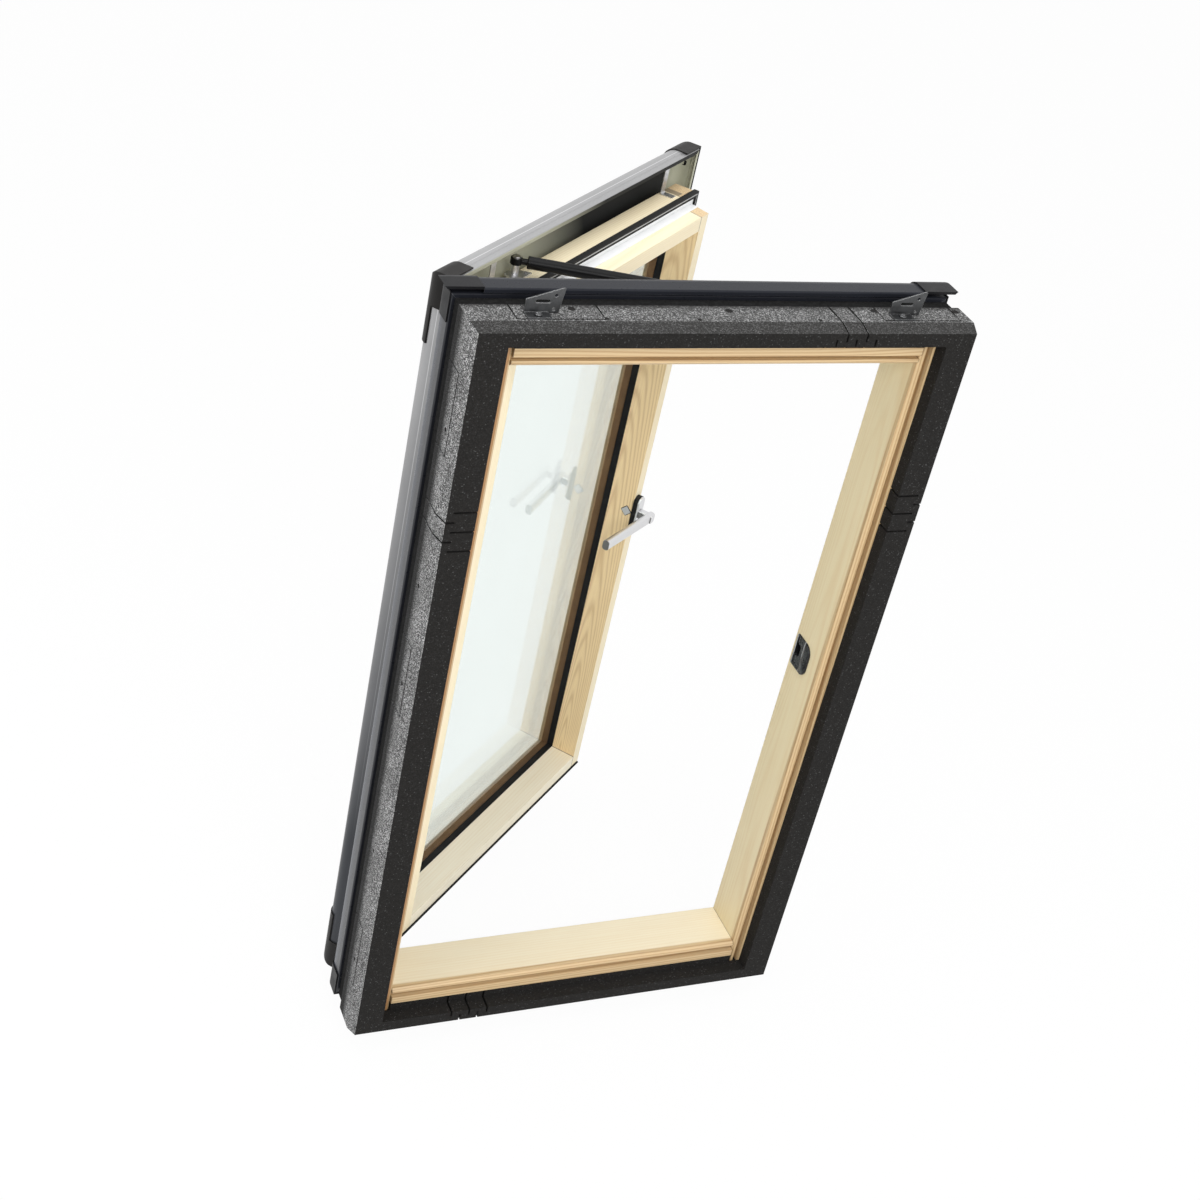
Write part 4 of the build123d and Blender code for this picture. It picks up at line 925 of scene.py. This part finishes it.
def bulge(from_middle, radius):
    """Half chord of the arcs that round both ends of the keep: sqrt(r^2 - past^2)."""
    past = np.maximum(abs(from_middle) - (half_high - radius), 0)
    return np.sqrt(radius**2 - past**2)


def keep_shape(rows=96, columns=84):
    """Height of the keep over its outline, from the jamb.

    The outline's room edge is an arc of 18 and its far corners are arcs of 4. The height is 2 with a round
    rim, plus a swell 1 - |y'|^2.5 along the room edge, plus two ridges, less a channel between the ridges
    that is deep where the bolt enters and rises along a slanted foot."""
    t = np.linspace(-1, 1, rows)[:, None]
    t = np.sign(t) * (1 - (1 - abs(t)) ** 1.35)
    s = np.linspace(0, 1, columns)[None, :]
    s = s - 0.08 * np.sin(2 * math.pi * s)
    from_middle = half_high * t
    near = room_arc_y - bulge(from_middle, room_arc)
    far = corner_arc_y + bulge(from_middle, corner_arc)
    y = near + s * (far - near)
    z = from_middle + 0 * s
    to_rim = np.minimum(np.minimum(y - near, far - y), half_high - abs(z))
    round_rim = np.sqrt(1 - (1 - np.clip(to_rim / 1.6, 0, 1)) ** 2)
    swell = np.clip(1 - abs((y - 28.5) / 10.5) ** 2.5, 0, 1) * np.clip(1 - abs(z / half_high) ** 3, 0, 1)
    ridge_bow = near_ridge + 1.8 * np.sin(z / half_high * math.pi)
    ridges = (ridge(y - ridge_bow) + ridge(y - far_ridge)) * smooth_step(26 - abs(z), 0, 2)
    channel = smooth_step(y, ridge_bow + 0.8, ridge_bow + 2) * smooth_step(-y, -62.9, -61.9)
    channel = channel * smooth_step(25 - abs(z), 0, 1.2)
    foot = -bolt_half_high + 0.45 * (62 - y)
    deep = smooth_step(z, foot, foot + 7) * smooth_step(-z, -bolt_half_high, 1 - bolt_half_high)
    deep = deep * smooth_step(y, 50, 52)
    height = (2 + 2.6 * swell + 0.45 * ridges) * round_rim - (1.5 + 10 * deep) * channel
    return np.stack([jamb_face - height, y, z + keep_middle], -1) / 1000


keep_points = keep_shape()
keep_faces = grid_faces(*keep_points.shape[:2])[:, ::-1]
pale_lines = millimetres(near_ridge, far_ridge).tolist()
keep_gloss = moulded("keep_ridged", keep_black, 0.22, 0.00002, shine=0.35, lines=pale_lines)
keep = new_piece("keep_moulding", keep_points, keep_faces, keep_gloss, "frame", "black_keep", wall=0.0008)
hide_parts("strike_keep")

# %% [markdown]
# ## Painted shade round the lock plate and in a hole
# A thin dark bead frames the square plate on the lock stile: painted shade, the plate's shadow line. A
# square hole shows on the inner side of the cover beside the lock, drawn as a dark bead with a dark floor:
# painted shade in the hole. Both are beads on a rounded square: the corner arcs give the place and its
# normal.

# %% Surrounds
def square_bead(half_side, corner, width, height, turn=0.0, steps=6):
    """Bead along a rounded square in the YZ plane, standing towards -X.

    A point of the path is the corner's centre plus r (cos a, sin a), its normal is (cos a, sin a), and the
    bead's section is a circle of the width, flattened to the height."""
    quarter = np.linspace(0, math.pi / 2, steps)
    angle = (np.arange(4)[:, None] * math.pi / 2 + quarter[None, :]).ravel()
    signs = np.repeat(np.array([[1, 1], [-1, 1], [-1, -1], [1, -1]]), steps, axis=0)
    normal = np.stack([np.cos(angle), np.sin(angle)], -1)
    path = signs * (half_side - corner) + corner * normal
    bow = np.linspace(0, 2 * math.pi, 12, endpoint=False)
    flat = path[:, None, :] + normal[:, None, :] * (width / 2 * (1 + np.cos(bow)))[None, :, None]
    spin = np.array([[math.cos(turn), -math.sin(turn)], [math.sin(turn), math.cos(turn)]])
    flat = flat @ spin.T
    lift = np.broadcast_to(-height * np.sin(bow), flat.shape[:2])
    bead = np.concatenate([lift[..., None], flat], -1)
    return bead, grid_faces(*bead.shape[:2], True, True)


def square_shade_floor(half_side, depth):
    """A flat square lid of four rays: its outer ring is the square and its inner ring falls on the middle."""
    ring = np.array([[1, 1], [-1, 1], [-1, -1], [1, -1]]) * half_side
    flat = np.stack([ring, ring * 0, ring])
    place = np.array([0, 0, depth])[:, None, None] + np.zeros((3, 4, 1))
    return np.concatenate([place, flat], -1), grid_faces(3, 4, True, True)[:, ::-1]


plate_place, hole_place = millimetres(280, 52, 8), millimetres(372.6, 129.3, 601.2)
plate_shadow_bead, hole_shade_bead = millimetres(6.5, 0.6, 1.1, 0.9), millimetres(3.0, 0.8, 1.2, 0.6)
# painted shade: a dark bead round the lock plate for the plate's shadow line
plate_shadow, plate_shadow_faces = square_bead(*plate_shadow_bead, turn=math.pi / 4)
plate_shadow = opened(plate_shadow + plate_place)
new_piece("lock_plate_shadow_line", plate_shadow, plate_shadow_faces, black_plastic_and_painted_shade, "sash", "black_plastic")
# painted shade in the hole: a dark bead and a dark floor
hole, hole_faces = joined(square_bead(*hole_shade_bead), square_shade_floor(*millimetres(3.1, 0.5)))
hole = opened(hole + hole_place)
new_piece("cover_square_hole", hole, hole_faces, black_plastic_and_painted_shade, "sash", "grey_cover")

# %% [markdown]
# ## Camera
# The picture was taken from the left and above with the camera rolled. The lens and the place come from a
# fit of the frame's straight edges, so they are given as numbers: where the lens is, where it looks and
# which way is up in the picture.

# %% Camera
lens_place = Vector((-1.2282, -2.0810, 1.7179))
look = Vector((0.40109, 0.73576, -0.54569)).normalized()
picture_up = Vector((0.05364, 0.57582, 0.81581))
right = look.cross(picture_up).normalized()
picture_up = right.cross(look)
camera_data = bpy.data.cameras.new("photo_camera")
camera_data.sensor_width = 36
camera_data.lens = 58.38
camera_data.clip_end = 60
camera = bpy.data.objects.new("photo_camera", camera_data)
turned = Matrix((right, picture_up, -look)).transposed().to_4x4()
camera.matrix_world = Matrix.Translation(lens_place) @ turned
bpy.context.scene.collection.objects.link(camera)
bpy.context.scene.camera = camera
print("camera looks along", [round(c, 3) for c in look])

# %% [markdown]
# ## Floor
# A catalogue picture has a white ground. The floor answers the rays of the camera, of mirrors and of panes
# with plain white mixed into its own shading, so it stays pale and still takes a faint shadow.

# %% Floor
floor_white = 0.96
floor_reach = 30.0


def seen_rays(tree):
    """1 for the camera's rays, also by a mirror or a pane, and 0 for light off matt faces."""
    ray = add(tree, "LightPath").outputs
    seen = calc(tree, "MAXIMUM", ray["Is Camera Ray"], ray["Is Glossy Ray"])
    return calc(tree, "MAXIMUM", seen, ray["Is Transmission Ray"])


def pale_floor(name):
    """Matt pale floor that looks white to the camera."""
    finish, tree, shader = new_finish(name, Roughness=0.9, Base_Color=(0.86, 0.86, 0.86, 1))
    white = add(tree, "Emission", {"Color": (1, 1, 1, 1), "Strength": 1.0}).outputs["Emission"]
    share = times(tree, seen_rays(tree), floor_white)
    blend = add(tree, "MixShader", {0: share, 1: shader.outputs["BSDF"], 2: white})
    output = next(n for n in tree.nodes if n.type == "OUTPUT_MATERIAL")
    tree.links.new(blend.outputs["Shader"], output.inputs["Surface"])
    return finish


floor_mesh = bpy.data.meshes.new("floor")
corners = np.array([[-1, -1, 0], [1, -1, 0], [1, 1, 0], [-1, 1, 0]]) * floor_reach + [0, 0, cad_low[2]]
floor_mesh.from_pydata(corners.tolist(), [], [(0, 1, 2, 3)])
floor = bpy.data.objects.new("floor", floor_mesh)
floor_mesh.materials.append(pale_floor("pale_floor"))
bpy.context.scene.collection.objects.link(floor)
floor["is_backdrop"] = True
print("floor at", round(cad_low[2], 3))

# %% [markdown]
# ## Light
# The window stands in broad soft light: an even dim glow, which the camera sees as white, and four soft
# boxes that give the faces their tones.

# %% Lights
glow = 0.62
world = bpy.data.worlds.new("studio")
bpy.context.scene.world = world
world.use_nodes = True
sky = world.node_tree
level = calc(sky, "MULTIPLY_ADD", seen_rays(sky), 1 - glow, glow)
background = next(n for n in sky.nodes if n.type == "BACKGROUND")
background.inputs["Color"].default_value = (1, 1, 1, 1)
sky.links.new(level, background.inputs["Strength"])


def soft_box(name, place, target, size, watts):
    """A square area light that looks at a target."""
    data = bpy.data.lights.new(name, "AREA")
    data.shape, data.size, data.energy = "SQUARE", size, watts
    lamp = bpy.data.objects.new(name, data)
    lamp.location = place
    lamp.rotation_euler = (Vector(target) - Vector(place)).to_track_quat("-Z", "Y").to_euler()
    bpy.context.scene.collection.objects.link(lamp)


soft_box("top_light", (-0.6, 0.2, 3.2), (0, 0.1, 0), 2.6, 50)
soft_box("left_light", (-3.2, -0.4, 1.4), (0, 0.1, 0), 2.2, 28)
soft_box("room_light", (-0.4, -3.2, 2.5), (0, 0.3, 0), 1.8, 78)
soft_box("front_fill", (0.8, -3.4, 1.0), (0, 0, 0), 2.6, 20)
bpy.context.scene.view_settings.view_transform = "Standard"
print("four soft boxes")

# %% Finish
low, high = (list(corner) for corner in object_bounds())
print("visual box", [round(b - a, 3) for a, b in zip(low, high)])
